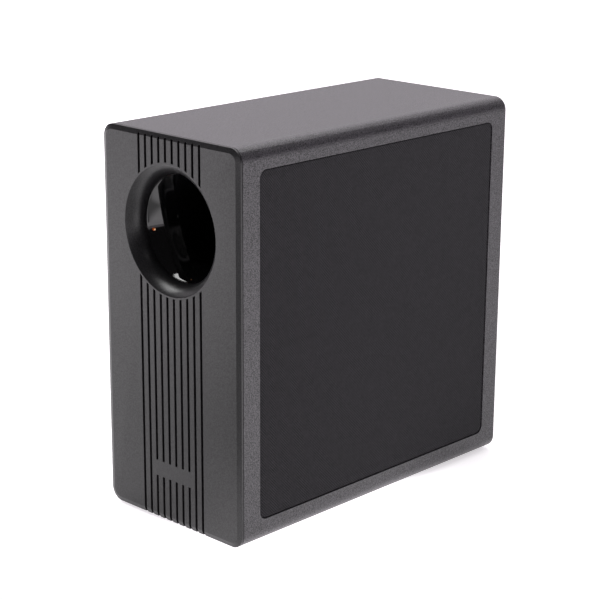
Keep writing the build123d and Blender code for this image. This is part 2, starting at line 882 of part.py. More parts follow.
with BuildPart() as magnet:
    with BuildSketch(side_plane(yoke_front_x)):
        with Locations((driver_y, driver_z)):
            Circle(magnet_radius)
            Circle(magnet_bore_radius, mode=Mode.SUBTRACT)
    extrude(amount=magnet_thickness)
    chamfer(magnet.faces().sort_by(Axis.X)[0].outer_wire().edges(), 2)
    chamfer(magnet.faces().sort_by(Axis.X)[-1].outer_wire().edges(), 2)
pieces["magnet"] = magnet

pole_radius = former_radius - former_wall - pole_clearance
with BuildPart() as pole_yoke:
    with BuildSketch(side_plane(yoke_back_x)):
        with Locations((driver_y, driver_z)):
            Circle(yoke_radius)
    extrude(amount=yoke_thickness)
    chamfer(pole_yoke.faces().sort_by(Axis.X)[0].edges(), 1.5)
    with BuildSketch(side_plane(yoke_front_x)):
        with Locations((driver_y, driver_z)):
            Circle(pole_radius)
    extrude(amount=magnet_thickness + plate_thickness)
    with BuildSketch(side_plane(yoke_back_x)):
        with Locations((driver_y, driver_z)):
            Circle(vent_radius)
    extrude(amount=yoke_thickness + magnet_thickness + plate_thickness, mode=Mode.SUBTRACT)
pieces["pole_yoke"] = pole_yoke

# ==== terminal strip on the basket, flexible leads to the cone, wires to the amplifier

strip_thickness = 1.6
strip_y = driver_y + spider_radius + 0.2
strip_height = 10.0
lead_spacing = 6.0
tab_x = spider_x + 7.0
lead_radius = 0.6
lead_cone_radius = 48.0
lead_cone_x = neck_front_x + cone_slope * (lead_cone_radius - former_radius) - 1.2 - lead_radius

with BuildPart() as terminal_strip:
    with BuildSketch(front_plane(strip_y)):
        with Locations((spider_x, driver_z)):
            Rectangle(strip_height, 22, align=(Align.MIN, Align.CENTER))
    extrude(amount=-strip_thickness)
    with BuildSketch(front_plane(strip_y + strip_thickness)):
        with Locations((tab_x, driver_z - lead_spacing), (tab_x, driver_z + lead_spacing)):
            Rectangle(5, 2.8)
    extrude(amount=-0.8)
pieces["terminal_strip"] = terminal_strip

with BuildPart() as tinsel_leads:
    for side in (-1, 1):
        start = Vector(tab_x, strip_y - 0.1, driver_z + side * lead_spacing)
        finish = Vector(lead_cone_x, driver_y + lead_cone_radius, driver_z + side * lead_spacing)
        with BuildLine() as lead_path:
            Bezier(start, start + Vector(-1, -6, 0), finish + Vector(-6, 2, 0), finish)
        with BuildSketch(Plane(origin=lead_path.line @ 0, z_dir=lead_path.line % 0)):
            Circle(lead_radius)
        sweep(path=lead_path.line)
pieces["tinsel_leads"] = tinsel_leads

wire_radius = 1.2
wire_start_y = strip_y + strip_thickness + 0.8
wire_bend_y = rear_board_y - 78
housing_front_y = plate_front_y - housing_depth
wire_amp_x = 30.0
board_front_y = plate_front_y - 34.5
with BuildPart() as speaker_wires:
    for side in (-1, 1):
        wire_z = driver_z + side * lead_spacing
        with BuildLine() as wire_path:
            FilletPolyline(
                (tab_x, wire_start_y, wire_z),
                (tab_x, wire_bend_y, wire_z),
                (wire_amp_x, wire_bend_y + 18, wire_z),
                (wire_amp_x, board_front_y, wire_z),
                radius=9,
            )
        with BuildSketch(Plane(origin=(tab_x, wire_start_y, wire_z), z_dir=(0, 1, 0))):
            Circle(wire_radius)
        sweep(path=wire_path.line)
pieces["speaker_wires"] = speaker_wires

# ==== grille: moulded frame with pegs, cloth, and rubber sockets in the baffle

frame_front_x = right_x - grille_recess - cloth_thickness
frame_back_x = frame_front_x - grille_thickness
frame_length = window_length - 2 * grille_clearance
frame_height = window_height - 2 * grille_clearance
frame_corner_radius = window_corner_radius - grille_clearance
peg_shoulder_x = inner_right_x + grommet_flange
peg_tip_x = inner_right_x - grommet_hole_depth + 3.5
cross_bar_z = driver_z + flange_radius + cross_bar_width

with BuildPart() as grille_frame:
    with BuildSketch(side_plane(frame_back_x)):
        with Locations(window_middle):
            RectangleRounded(frame_length, frame_height, frame_corner_radius)
            RectangleRounded(
                frame_length - 2 * grille_bar,
                frame_height - 2 * grille_bar,
                frame_corner_radius / 2,
                mode=Mode.SUBTRACT,
            )
        with Locations((window_middle[0], cross_bar_z)):
            Rectangle(frame_length - grille_bar, cross_bar_width)
    extrude(amount=grille_thickness)
    chamfer(grille_frame.faces().sort_by(Axis.X)[-1].outer_wire().edges(), 1.2)
pieces["grille_frame"] = grille_frame

with BuildPart() as grille_cloth:
    with BuildSketch(side_plane(frame_front_x)):
        with Locations(window_middle):
            RectangleRounded(frame_length, frame_height, frame_corner_radius)
    extrude(amount=cloth_thickness)
pieces["grille_cloth"] = grille_cloth

with BuildPart() as grille_pegs:
    with BuildSketch(side_plane(peg_shoulder_x)):
        with Locations(*peg_points):
            Circle(peg_radius + 3)
    extrude(amount=frame_back_x - peg_shoulder_x)
    with BuildSketch(side_plane(peg_shoulder_x)):
        with Locations(*peg_points):
            Circle(peg_radius)
    extrude(amount=peg_tip_x - peg_shoulder_x)
    chamfer(grille_pegs.faces().filter_by(Plane.YZ).group_by(Axis.X)[0].edges(), 0.8)
pieces["grille_pegs"] = grille_pegs

with BuildPart() as grille_grommets:
    with BuildSketch(side_plane(inner_right_x)):
        with Locations(*peg_points):
            Circle(grommet_radius)
    extrude(amount=-grommet_hole_depth)
    with BuildSketch(side_plane(inner_right_x)):
        with Locations(*peg_points):
            Circle(grommet_radius + 2)
    extrude(amount=grommet_flange)
    with BuildSketch(side_plane(peg_shoulder_x)):
        with Locations(*peg_points):
            Circle(peg_radius + peg_running_clearance)
    extrude(amount=-(grommet_hole_depth + grommet_flange - 2), mode=Mode.SUBTRACT)
pieces["grille_grommets"] = grille_grommets

# ==== rear board and amplifier plate

amp_screw_x = amp_plate_width / 2 - amp_land / 2
amp_screw_points = [
    (side * amp_screw_x, plate_middle_z + z)
    for side in (-1, 1)
    for z in (-amp_plate_height / 2 + amp_land / 2, -37, 37, amp_plate_height / 2 - amp_land / 2)
]
inlet_width = 27.2
inlet_height = 20.6
bezel_width = 16.4
bezel_height = 25.6
bushing_radius = 3.5
button_radius = 3.4
slider_width = 4.2
slider_height = 3.0
slide_clearance = 0.2
slot_width = slider_width + phase_travel + 2 * slide_clearance
slot_height = slider_height + 2 * slide_clearance
socket_points = [(-control_x - 8, socket_z), (-control_x + 12, socket_z)]
knob_points = {"level": (-control_x, control_z), "crossover": (control_x, control_z)}

with BuildPart() as rear_panel:
    with BuildSketch(front_plane(rear_board_y)):
        with Locations((inner_middle_x, middle_z)):
            Rectangle(inner_width, inner_height)
        with Locations((0, plate_middle_z)):
            Rectangle(cutout_width, cutout_height, mode=Mode.SUBTRACT)
    extrude(amount=-rear_board)
    with BuildSketch(front_plane(rear_face_y)):
        with Locations((0, plate_middle_z)):
            Rectangle(amp_plate_width + 1, amp_plate_height + 1)
    extrude(amount=amp_plate_thickness + gasket_thickness, mode=Mode.SUBTRACT)
    with BuildSketch(front_plane(plate_front_y - gasket_thickness)):
        with Locations(*amp_screw_points):
            Circle(amp_screw_radius + glue_gap)
    extrude(amount=amp_screw_length - amp_plate_thickness, mode=Mode.SUBTRACT)
pieces["rear_panel"] = rear_panel

with BuildPart() as amp_gasket:
    with BuildSketch(front_plane(plate_front_y - gasket_thickness)):
        with Locations((0, plate_middle_z)):
            Rectangle(amp_plate_width, amp_plate_height)
            Rectangle(cutout_width, cutout_height, mode=Mode.SUBTRACT)
        with Locations(*amp_screw_points):
            Circle(amp_screw_radius + screw_hole_clearance, mode=Mode.SUBTRACT)
    extrude(amount=-gasket_thickness)
pieces["amp_gasket"] = amp_gasket

with BuildPart() as amp_plate:
    with BuildSketch(front_plane(plate_front_y)):
        with Locations((0, plate_middle_z)):
            RectangleRounded(amp_plate_width, amp_plate_height, 4)
        with Locations(*amp_screw_points):
            Circle(amp_screw_radius + screw_hole_clearance, mode=Mode.SUBTRACT)
        with Locations(*knob_points.values()):
            Circle(bushing_radius + 0.1, mode=Mode.SUBTRACT)
        with Locations(*socket_points):
            Circle(sleeve_radius - 0.1, mode=Mode.SUBTRACT)
        with Locations((0, control_z)):
            Rectangle(slot_width, slot_height, mode=Mode.SUBTRACT)
        with Locations((control_x, socket_z)):
            Circle(button_radius + 0.3, mode=Mode.SUBTRACT)
        with Locations((-power_x, power_z)):
            Rectangle(inlet_width + 0.4, inlet_height + 0.4, mode=Mode.SUBTRACT)
        with Locations((power_x, power_z)):
            Rectangle(bezel_width + 0.4, bezel_height + 0.4, mode=Mode.SUBTRACT)
    extrude(amount=-amp_plate_thickness)
pieces["amp_plate"] = amp_plate

pieces["amp_screws"] = screw_group(
    front_plane(rear_face_y), amp_screw_points, amp_screw_head, amp_screw_radius, amp_screw_length, -1
)

heatsink_width = 100.0
heatsink_height = 62.0
heatsink_z = plate_middle_z - 12
fin_pitch = 8.0
fin_count = 12
heatsink_base = 3.0
fin_height = 7.0
with BuildPart() as heatsink:
    with BuildSketch(front_plane(rear_face_y)):
        with Locations((0, heatsink_z)):
            Rectangle(heatsink_width, heatsink_height)
    extrude(amount=-heatsink_base)
    with BuildSketch(front_plane(rear_face_y + heatsink_base)):
        with Locations((0, heatsink_z)):
            with GridLocations(fin_pitch, heatsink_height, fin_count, 1):
                Rectangle(2.2, heatsink_height)
    extrude(amount=-fin_height)
pieces["heatsink"] = heatsink

board_thickness = 1.6
board_width = 104.0
board_height = 200.0
standoff_inset = (4.0, 5.0)
standoff_radius = 3.0
standoff_reach = (board_width / 2 - standoff_inset[0], board_height / 2 - standoff_inset[1])
standoff_points = [
    (sx * standoff_reach[0], plate_middle_z + sz * standoff_reach[1])
    for sx in (-1, 1)
    for sz in (-1, 1)
]
with BuildPart() as amp_board:
    with BuildSketch(front_plane(board_front_y)):
        with Locations((0, plate_middle_z)):
            Rectangle(board_width, board_height)
        with Locations(*standoff_points):
            Circle(1.6, mode=Mode.SUBTRACT)
    extrude(amount=-board_thickness)
pieces["amp_board"] = amp_board

with BuildPart() as board_standoffs:
    with BuildSketch(front_plane(board_front_y + board_thickness)):
        with Locations(*standoff_points):
            RegularPolygon(standoff_radius, 6)
    extrude(amount=board_front_y + board_thickness - plate_front_y)
pieces["board_standoffs"] = board_standoffs

transformer_x = -22.0
transformer_z = plate_middle_z - 50
core_width = 46.0
core_height = 38.0
core_step = 6.0
core_middle_height = 20.0
winding_size = (28.0, 36.0)
with BuildPart() as transformer:
    with BuildSketch(front_plane(board_front_y)):
        with Locations((transformer_x, transformer_z)):
            Rectangle(core_width, core_height)
    extrude(amount=core_step)
    with BuildSketch(front_plane(board_front_y - core_step)):
        with Locations((transformer_x, transformer_z)):
            Rectangle(core_width, core_middle_height)
            RectangleRounded(*winding_size, 5)
    extrude(amount=2 * core_step)
pieces["transformer"] = transformer

capacitor_radius = 9.0
capacitor_height = 19.0
capacitor_pitch = 22.0
capacitor_points = [(22, plate_middle_z - 65 + capacitor_pitch * i) for i in range(3)]
with BuildPart() as capacitors:
    with BuildSketch(front_plane(board_front_y)):
        with Locations(*capacitor_points):
            Circle(capacitor_radius)
    extrude(amount=capacitor_height)
    fillet(capacitors.faces().filter_by(Plane.XZ).group_by(Axis.Y)[0].edges(), 1)
pieces["capacitors"] = capacitors

housing_wall = 1.5
housing_gap = 2.0
housing_width = cutout_width - 2 * housing_gap
housing_height = cutout_height - 2 * housing_gap
with BuildPart() as amp_housing:
    with BuildSketch(front_plane(housing_front_y)):
        with Locations((0, plate_middle_z)):
            RectangleRounded(housing_width, housing_height, 3)
    extrude(amount=-housing_depth)
    with BuildSketch(front_plane(housing_front_y + housing_wall)):
        with Locations((0, plate_middle_z)):
            RectangleRounded(housing_width - 2 * housing_wall, housing_height - 2 * housing_wall, 1.5)
    extrude(amount=housing_wall - housing_depth, mode=Mode.SUBTRACT)
    with BuildSketch(front_plane(housing_front_y)):
        with Locations((wire_amp_x, driver_z - lead_spacing), (wire_amp_x, driver_z + lead_spacing)):
            Circle(wire_radius + 0.8)
    extrude(amount=-housing_wall, mode=Mode.SUBTRACT)
pieces["amp_housing"] = amp_housing

# ==== mains inlet and power rocker

inlet_back_y = rear_face_y - 22.5
inlet_floor_y = rear_face_y - 15.0
inlet_front_y = rear_face_y + 2.2
pin_points = [(-power_x - 7, power_z - 2), (-power_x, power_z + 2.4), (-power_x + 7, power_z - 2)]
pin_width = 2.0
pin_height = 4.0

with BuildPart() as mains_inlet:
    with BuildSketch(front_plane(rear_face_y)):
        with Locations((-power_x, power_z)):
            RectangleRounded(inlet_width + 4, inlet_height + 4, 3)
    extrude(amount=rear_face_y - inlet_front_y)
    with BuildSketch(front_plane(inlet_back_y)):
        with Locations((-power_x, power_z)):
            Rectangle(inlet_width, inlet_height)
    extrude(amount=inlet_back_y - rear_face_y)
    with BuildSketch(front_plane(inlet_floor_y)) as cavity:
        with Locations((-power_x, power_z)):
            Rectangle(inlet_width - 3, inlet_height - 4)
        chamfer(cavity.vertices().group_by(Axis.Z)[-1], 4)
    extrude(amount=inlet_floor_y - inlet_front_y, mode=Mode.SUBTRACT)
    with BuildSketch(front_plane(inlet_back_y)):
        with Locations(*pin_points):
            Rectangle(pin_width + 2 * glue_gap, pin_height + 2 * glue_gap)
    extrude(amount=inlet_back_y - inlet_floor_y, mode=Mode.SUBTRACT)
pieces["mains_inlet"] = mains_inlet

with BuildPart() as inlet_pins:
    with BuildSketch(front_plane(inlet_back_y - 6)):
        with Locations(*pin_points):
            Rectangle(pin_width, pin_height)
    extrude(amount=-26)
    chamfer(inlet_pins.faces().filter_by(Plane.XZ).group_by(Axis.Y)[-1].edges(), 0.6)
pieces["inlet_pins"] = inlet_pins

rocker_pivot_y = rear_face_y - 4.5
rocker_reach = 11.0
rocker_width = 12.8
rocker_pin_radius = 1.4
bezel_wall = 1.5
bezel_front_y = rear_face_y + 1.8
bezel_back_y = rear_face_y - 19.5
rocker_centre = Vector(rocker_pivot_y, power_z)

with BuildPart() as rocker_bezel:
    with BuildSketch(front_plane(rear_face_y)):
        with Locations((power_x, power_z)):
            RectangleRounded(bezel_width + 4, bezel_height + 4, 1.5)
    extrude(amount=rear_face_y - bezel_front_y)
    with BuildSketch(front_plane(bezel_back_y)):
        with Locations((power_x, power_z)):
            Rectangle(bezel_width, bezel_height)
    extrude(amount=bezel_back_y - rear_face_y)
    with BuildSketch(front_plane(bezel_back_y + bezel_wall)):
        with Locations((power_x, power_z)):
            Rectangle(bezel_width - 2 * bezel_wall, bezel_height - 2 * bezel_wall)
    extrude(amount=bezel_back_y + bezel_wall - bezel_front_y, mode=Mode.SUBTRACT)
    with BuildSketch(side_plane(power_x - bezel_width / 2 + 0.4)):
        with Locations(rocker_centre):
            Circle(rocker_pin_radius + spindle_clearance)
    extrude(amount=bezel_width - 0.8, mode=Mode.SUBTRACT)
pieces["rocker_bezel"] = rocker_bezel

# The rocker's ends are arcs about its pivot. It rests with its lower half pressed in.
with BuildPart() as power_rocker:
    with BuildSketch(side_plane(power_x - rocker_width / 2)):
        with Locations(rocker_centre):
            Circle(rocker_reach)
        with BuildLine(mode=Mode.PRIVATE) as valley:
            half = rocker_reach + 1
            rise = half * math.tan(math.radians(rocker_tilt))
            Polyline((6.5, 0), (6.5 + rise, half), (-6, half), (-6, -half), (6.5 + rise, -half), close=True)
        with Locations(Location((rocker_pivot_y, power_z, 0), (0, 0, -rocker_tilt))):
            add(make_face(valley.edges(), mode=Mode.PRIVATE), mode=Mode.INTERSECT)
    extrude(amount=rocker_width)
    with BuildSketch(side_plane(power_x - rocker_width / 2 - 1.1)):
        with Locations(rocker_centre):
            Circle(rocker_pin_radius)
    extrude(amount=rocker_width + 2.2)
pieces["power_rocker"] = power_rocker

# ==== level and crossover controls

pot_size = 16.0
pot_front_y = plate_front_y - 11.5
pot_rear_y = plate_front_y - 3.5
bushing_end_y = rear_face_y + 2.0
knob_back_y = rear_face_y + 2.5
spindle_end_y = pot_front_y + 1.5

with BuildPart() as control_pots:
    with BuildSketch(front_plane(pot_front_y)):
        with Locations(*knob_points.values()):
            RectangleRounded(pot_size, pot_size, 1)
    extrude(amount=pot_front_y - pot_rear_y)
    with BuildSketch(front_plane(pot_rear_y)):
        with Locations(*knob_points.values()):
            Circle(bushing_radius)
    extrude(amount=pot_rear_y - bushing_end_y)
    with BuildSketch(front_plane(rear_face_y)):
        with Locations(*knob_points.values()):
            RegularPolygon(5.5, 6)
            Circle(bushing_radius, mode=Mode.SUBTRACT)
    extrude(amount=-1.6)
    with BuildSketch(front_plane(spindle_end_y - 0.5)):
        with Locations(*knob_points.values()):
            Circle(spindle_radius + spindle_clearance)
    extrude(amount=spindle_end_y - 0.5 - bushing_end_y, mode=Mode.SUBTRACT)
pieces["control_pots"] = control_pots

for control, (knob_x, knob_z) in knob_points.items():
    with BuildPart() as knob:
        with BuildSketch(front_plane(knob_back_y)):
            with Locations((knob_x, knob_z)):
                Circle(knob_radius)
                with PolarLocations(knob_radius + 0.4, 24):
                    Circle(0.8, mode=Mode.SUBTRACT)
        extrude(amount=-knob_height)
        with BuildSketch(front_plane(knob_back_y)):
            with Locations((knob_x, knob_z)):
                Circle(spindle_radius)
        extrude(amount=knob_back_y - spindle_end_y)
        with BuildSketch(front_plane(knob_back_y + knob_height)):
            with Locations((knob_x, knob_z + knob_radius * 0.55)):
                Rectangle(1.2, knob_radius * 0.7)
        extrude(amount=0.6, mode=Mode.SUBTRACT)
    pieces[f"{control}_knob"] = knob

# ==== phase switch, pairing button and phono sockets

slider_x = -phase_travel / 2
phase_body_depth = 10.0
phase_floor_y = plate_front_y - 6.4
with BuildPart() as phase_slider:
    with BuildSketch(front_plane(phase_floor_y + 0.4)):
        with Locations((slider_x, control_z)):
            Rectangle(slider_width, slider_height)
    extrude(amount=phase_floor_y + 0.4 - rear_face_y - 2.5)
pieces["phase_slider"] = phase_slider

button_flange_y = plate_front_y - 1.6
switch_top_y = button_flange_y - 3.0
stem_end_y = switch_top_y - 2.0
with BuildPart() as switch_bodies:
    with BuildSketch(front_plane(plate_front_y)):
        with Locations((0, control_z)):
            Rectangle(slot_width + 5.4, slot_height + 4.6)
    extrude(amount=phase_body_depth)
    with BuildSketch(front_plane(plate_front_y)):
        with Locations((0, control_z)):
            Rectangle(slot_width, slot_height)
    extrude(amount=plate_front_y - phase_floor_y, mode=Mode.SUBTRACT)
    with BuildSketch(front_plane(switch_top_y)):
        with Locations((control_x, socket_z)):
            RectangleRounded(9, 9, 1)
    extrude(amount=switch_top_y - board_front_y - board_thickness)
    with BuildSketch(front_plane(switch_top_y)):
        with Locations((control_x, socket_z)):
            Circle(1.8)
    extrude(amount=switch_top_y - stem_end_y + button_travel + 0.4, mode=Mode.SUBTRACT)
pieces["switch_bodies"] = switch_bodies

with BuildPart() as pairing_button:
    with BuildSketch(front_plane(button_flange_y)):
        with Locations((control_x, socket_z)):
            Circle(button_radius + 1.2)
    extrude(amount=-1.3)
    with BuildSketch(front_plane(button_flange_y)):
        with Locations((control_x, socket_z)):
            Circle(button_radius)
    extrude(amount=button_flange_y - rear_face_y - 1.8)
    fillet(pairing_button.faces().sort_by(Axis.Y)[-1].edges(), 0.5)
    with BuildSketch(front_plane(button_flange_y)):
        with Locations((control_x, socket_z)):
            Circle(1.4)
    extrude(amount=button_flange_y - stem_end_y)
pieces["pairing_button"] = pairing_button

sleeve_start_y = rear_face_y + 1.5
with BuildPart() as line_sockets:
    with BuildSketch(front_plane(rear_face_y)):
        with Locations(*socket_points):
            Circle(6)
    extrude(amount=rear_face_y - sleeve_start_y)
    with BuildSketch(front_plane(sleeve_start_y)):
        with Locations(*socket_points):
            Circle(sleeve_radius)
    extrude(amount=-sleeve_length)
    with BuildSketch(front_plane(rear_face_y)):
        with Locations(*socket_points):
            Circle(sleeve_radius - 0.2)
    extrude(amount=11)
    with BuildSketch(front_plane(plate_front_y)):
        with Locations(*socket_points):
            RegularPolygon(5.8, 6)
    extrude(amount=2.5)
    with BuildSketch(front_plane(sleeve_start_y + sleeve_length)):
        with Locations(*socket_points):
            Circle(sleeve_radius - 0.7)
            Circle(sleeve_radius - 1.2, mode=Mode.SUBTRACT)
    extrude(amount=5.5, mode=Mode.SUBTRACT)
    with BuildSketch(front_plane(sleeve_start_y + sleeve_length)):
        with Locations(*socket_points):
            Circle(1.6)
    extrude(amount=8, mode=Mode.SUBTRACT)
pieces["line_sockets"] = line_sockets

# ==== wadding and feet

with BuildPart() as damping_wadding:
    with BuildSketch(side_plane(inner_left_x)):
        with Locations((driver_y, driver_z)):
            RectangleRounded(wadding_length, 2 * cutout_radius, wadding_corner_radius)
    extrude(amount=wadding_thickness)
    fillet(damping_wadding.faces().sort_by(Axis.X)[-1].edges(), 4)
pieces["damping_wadding"] = damping_wadding

with BuildPart() as rubber_feet:
    with BuildSketch(Plane.XY):
        with Locations(*foot_points):
            Circle(foot_radius)
            Circle(foot_screw_radius + screw_hole_clearance, mode=Mode.SUBTRACT)
    extrude(amount=foot_height)
    with BuildSketch(Plane.XY):
        with Locations(*foot_points):
            Circle(foot_well_radius)
    extrude(amount=foot_screw_seat_z, mode=Mode.SUBTRACT)
    ground_faces = rubber_feet.faces().filter_by(Plane.XY).group_by(Axis.Z)[0]
    chamfer(ground_faces.edges().filter_by(GeomType.CIRCLE), 0.3)
pieces["rubber_feet"] = rubber_feet

pieces["foot_screws"] = screw_group(
    Plane.XY.offset(foot_screw_seat_z),
    foot_points,
    foot_screw_head,
    foot_screw_radius,
    foot_screw_length,
    -1,
)

# ==== label every piece and write it

for name, piece in pieces.items():
    piece.part.label = name
    export_step(piece.part, f"parts/{name}.step")
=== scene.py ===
import json
import math
import bmesh
import bpy
import numpy as np
from mathutils import Matrix, Vector


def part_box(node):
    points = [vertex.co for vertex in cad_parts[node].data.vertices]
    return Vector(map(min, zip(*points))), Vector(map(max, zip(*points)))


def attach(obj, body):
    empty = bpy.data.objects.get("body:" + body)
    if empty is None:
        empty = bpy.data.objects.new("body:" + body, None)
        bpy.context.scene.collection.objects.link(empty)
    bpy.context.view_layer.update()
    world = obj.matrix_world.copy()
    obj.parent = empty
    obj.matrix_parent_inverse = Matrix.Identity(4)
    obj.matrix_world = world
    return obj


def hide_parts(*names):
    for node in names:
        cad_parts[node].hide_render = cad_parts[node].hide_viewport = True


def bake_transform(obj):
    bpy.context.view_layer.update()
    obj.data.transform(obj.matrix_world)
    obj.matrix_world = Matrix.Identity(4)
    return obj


# Looks for a slim active subwoofer: a satin grooved front, a textured black cabinet, a stretched
# cloth grille, a gloss port horn, the driver behind the grille and the amplifier at the rear.

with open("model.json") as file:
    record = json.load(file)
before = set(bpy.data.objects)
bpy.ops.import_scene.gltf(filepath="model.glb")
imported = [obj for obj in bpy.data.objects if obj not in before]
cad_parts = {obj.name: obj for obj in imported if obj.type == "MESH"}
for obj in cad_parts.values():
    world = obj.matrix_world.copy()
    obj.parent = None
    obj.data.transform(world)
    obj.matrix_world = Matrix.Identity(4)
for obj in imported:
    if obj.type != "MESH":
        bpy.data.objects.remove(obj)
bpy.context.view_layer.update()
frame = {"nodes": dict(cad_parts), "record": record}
cadNodes = frame["nodes"]
bodyOf = {node: body for body, members in frame["record"]["behaviour"]["bodies"].items() for node in members}
mm = 0.001
print("frame loaded:", len(cadNodes), "nodes")


def place(node):
    # lowest and highest corner of a node, in millimetres
    low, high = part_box(node)
    return np.array(low) / mm, np.array(high) / mm


def makePiece(name, surfaces, sharpAngle=35):
    # each surface is a grid of points, rows x columns x 3 in mm, and whether its rows and its
    # columns close on themselves. Every four neighbouring points become one face.
    points, faces, start = [], [], 0
    for grid, closeRows, closeColumns in surfaces:
        rows, columns = grid.shape[:2]
        index = np.arange(rows * columns).reshape(rows, columns) + start
        index = np.vstack([index, index[:1]]) if closeRows else index
        index = np.hstack([index, index[:, :1]]) if closeColumns else index
        quads = np.stack([index[:-1, :-1], index[1:, :-1], index[1:, 1:], index[:-1, 1:]], axis=-1)
        points.append(grid.reshape(-1, 3) * mm)
        faces.append(quads.reshape(-1, 4))
        start += rows * columns
    mesh = bpy.data.meshes.new(name)
    mesh.from_pydata(np.vstack(points).tolist(), [], np.vstack(faces).tolist())
    tidyMesh(mesh, sharpAngle)
    return linkPiece(name, mesh)


def tidyMesh(mesh, sharpAngle, fillEnds=True):
    # doubled points at poles and seams are merged, open ends are filled and faces point outwards
    work = bmesh.new()
    work.from_mesh(mesh)
    bmesh.ops.remove_doubles(work, verts=work.verts, dist=2e-6)
    if fillEnds:
        openEdges = [edge for edge in work.edges if edge.is_boundary]
        bmesh.ops.holes_fill(work, edges=openEdges, sides=0)
    bmesh.ops.recalc_face_normals(work, faces=work.faces)
    work.to_mesh(mesh)
    work.free()
    mesh.shade_smooth()
    mesh.set_sharp_from_angle(angle=math.radians(sharpAngle))


def linkPiece(name, mesh):
    piece = bpy.data.objects.new(name, mesh)
    bpy.context.scene.collection.objects.link(piece)
    return piece


def fit(piece, body, material, replaced=()):
    # puts a finished piece on its body, in the place of the nodes it stands for
    piece.data.materials.clear()
    piece.data.materials.append(material)
    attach(piece, body)
    if replaced:
        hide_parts(*replaced)
    return piece


def turned(profile, axis, centre, steps=96, start=0.0, sweep=360.0):
    # a profile of (along, radius) rows turned about a line parallel to X or Y through centre:
    # point = centre + along * axis + radius * (cos(turn) * side + sin(turn) * up)
    full = sweep >= 360
    turn = np.radians(start + np.linspace(0, sweep, steps, endpoint=not full))
    along, radius = profile[:, :1], profile[:, 1:2]
    level = np.broadcast_to(along, (len(profile), len(turn)))
    across, rise = radius * np.cos(turn), radius * np.sin(turn)
    if axis == "y":
        grid = np.stack([centre[0] + across, level, centre[2] + rise], axis=-1)
    else:
        grid = np.stack([level, centre[1] + across, centre[2] + rise], axis=-1)
    return grid


def roundedOutline(width, height, radius, arcSteps=7, sideSteps=14):
    # four quarter circles about the corner centres, joined by evenly divided straight sides
    turn = np.linspace(0, math.pi / 2, arcSteps)
    signs = np.array([(1, 1), (-1, 1), (-1, -1), (1, -1)])
    centres = signs * np.array([width / 2 - radius, height / 2 - radius])
    arcs = [
        centre + radius * np.column_stack([np.cos(turn + k * math.pi / 2), np.sin(turn + k * math.pi / 2)])
        for k, centre in enumerate(centres)
    ]
    share = np.linspace(0, 1, sideSteps, endpoint=False)[1:, None]
    rows = []
    for k, arc in enumerate(arcs):
        rows += [arc, arc[-1] + (arcs[(k + 1) % 4][0] - arc[-1]) * share]
    return np.vstack(rows)


def tubeAlong(path, radius, sides=12):
    # a circle carried along a path: its plane is square to the path, its first axis lies
    # along the cross product of the path's direction and X
    path = np.array(path, float)
    direction = np.gradient(path, axis=0)
    direction /= np.linalg.norm(direction, axis=1, keepdims=True)
    side = np.cross(direction, (1.0, 0.0, 0.0))
    side /= np.linalg.norm(side, axis=1, keepdims=True)
    other = np.cross(direction, side)
    turn = np.linspace(0, 2 * math.pi, sides, endpoint=False)
    reach = np.broadcast_to(np.asarray(radius, float), (len(path), sides))[..., None]
    ring = np.cos(turn)[None, :, None] * side[:, None] + np.sin(turn)[None, :, None] * other[:, None]
    return path[:, None] + reach * ring


def hexColour(text):
    # sRGB to linear: value / 12.92 below 0.04045, else ((value + 0.055) / 1.055) to the power 2.4
    value = np.array([int(text[i:i + 2], 16) for i in (1, 3, 5)]) / 255
    linear = np.where(value <= 0.04045, value / 12.92, ((value + 0.055) / 1.055) ** 2.4)
    return (*linear.tolist(), 1.0)


def addNode(tree, kind, settings=None, links=None):
    # a whole-number key is the place of an input, a word is an input's name or a node setting
    node = tree.nodes.new(kind)
    for key, value in (settings or {}).items():
        if isinstance(key, int) or key in node.inputs:
            node.inputs[key].default_value = value
        else:
            setattr(node, key, value)
    for key, socket in (links or {}).items():
        tree.links.new(socket, node.inputs[key])
    return node


def startMaterial(name, settings):
    material = bpy.data.materials.new(name)
    material.use_nodes = True
    tree = material.node_tree
    tree.nodes.clear()
    shader = addNode(tree, "ShaderNodeBsdfPrincipled", settings)
    addNode(tree, "ShaderNodeOutputMaterial", links={"Surface": shader.outputs["BSDF"]})
    coords = addNode(tree, "ShaderNodeTexCoord").outputs["Object"]
    return material, tree, shader, coords


def joinShader(tree, shader, sockets):
    # leads the worked-out colours and values into the shader
    for name, socket in sockets.items():
        tree.links.new(socket, shader.inputs[name])


# Moulded ABS: the tool's spark-eroded grain gives a satin face with a faint cloudiness where
# the plastic flowed. Grain in mm, depth in mm.
plastics = {
    "fascia_plastic": {"colour": "#0e0d0f", "tint": "#1d1c1e", "roughness": 0.33, "spread": 0.05,
                       "grain": 1.1, "depth": 0.012, "cloud": 70.0, "shine": 0.36},
    "black_plastic": {"colour": "#141415", "tint": "#1b1b1c", "roughness": 0.46, "spread": 0.08,
                      "grain": 0.8, "depth": 0.02, "cloud": 30.0, "shine": 0.5},
    "control_plastic": {"colour": "#101011", "tint": "#17171a", "roughness": 0.38, "spread": 0.08,
                        "grain": 0.6, "depth": 0.01, "cloud": 12.0, "shine": 0.5},
}


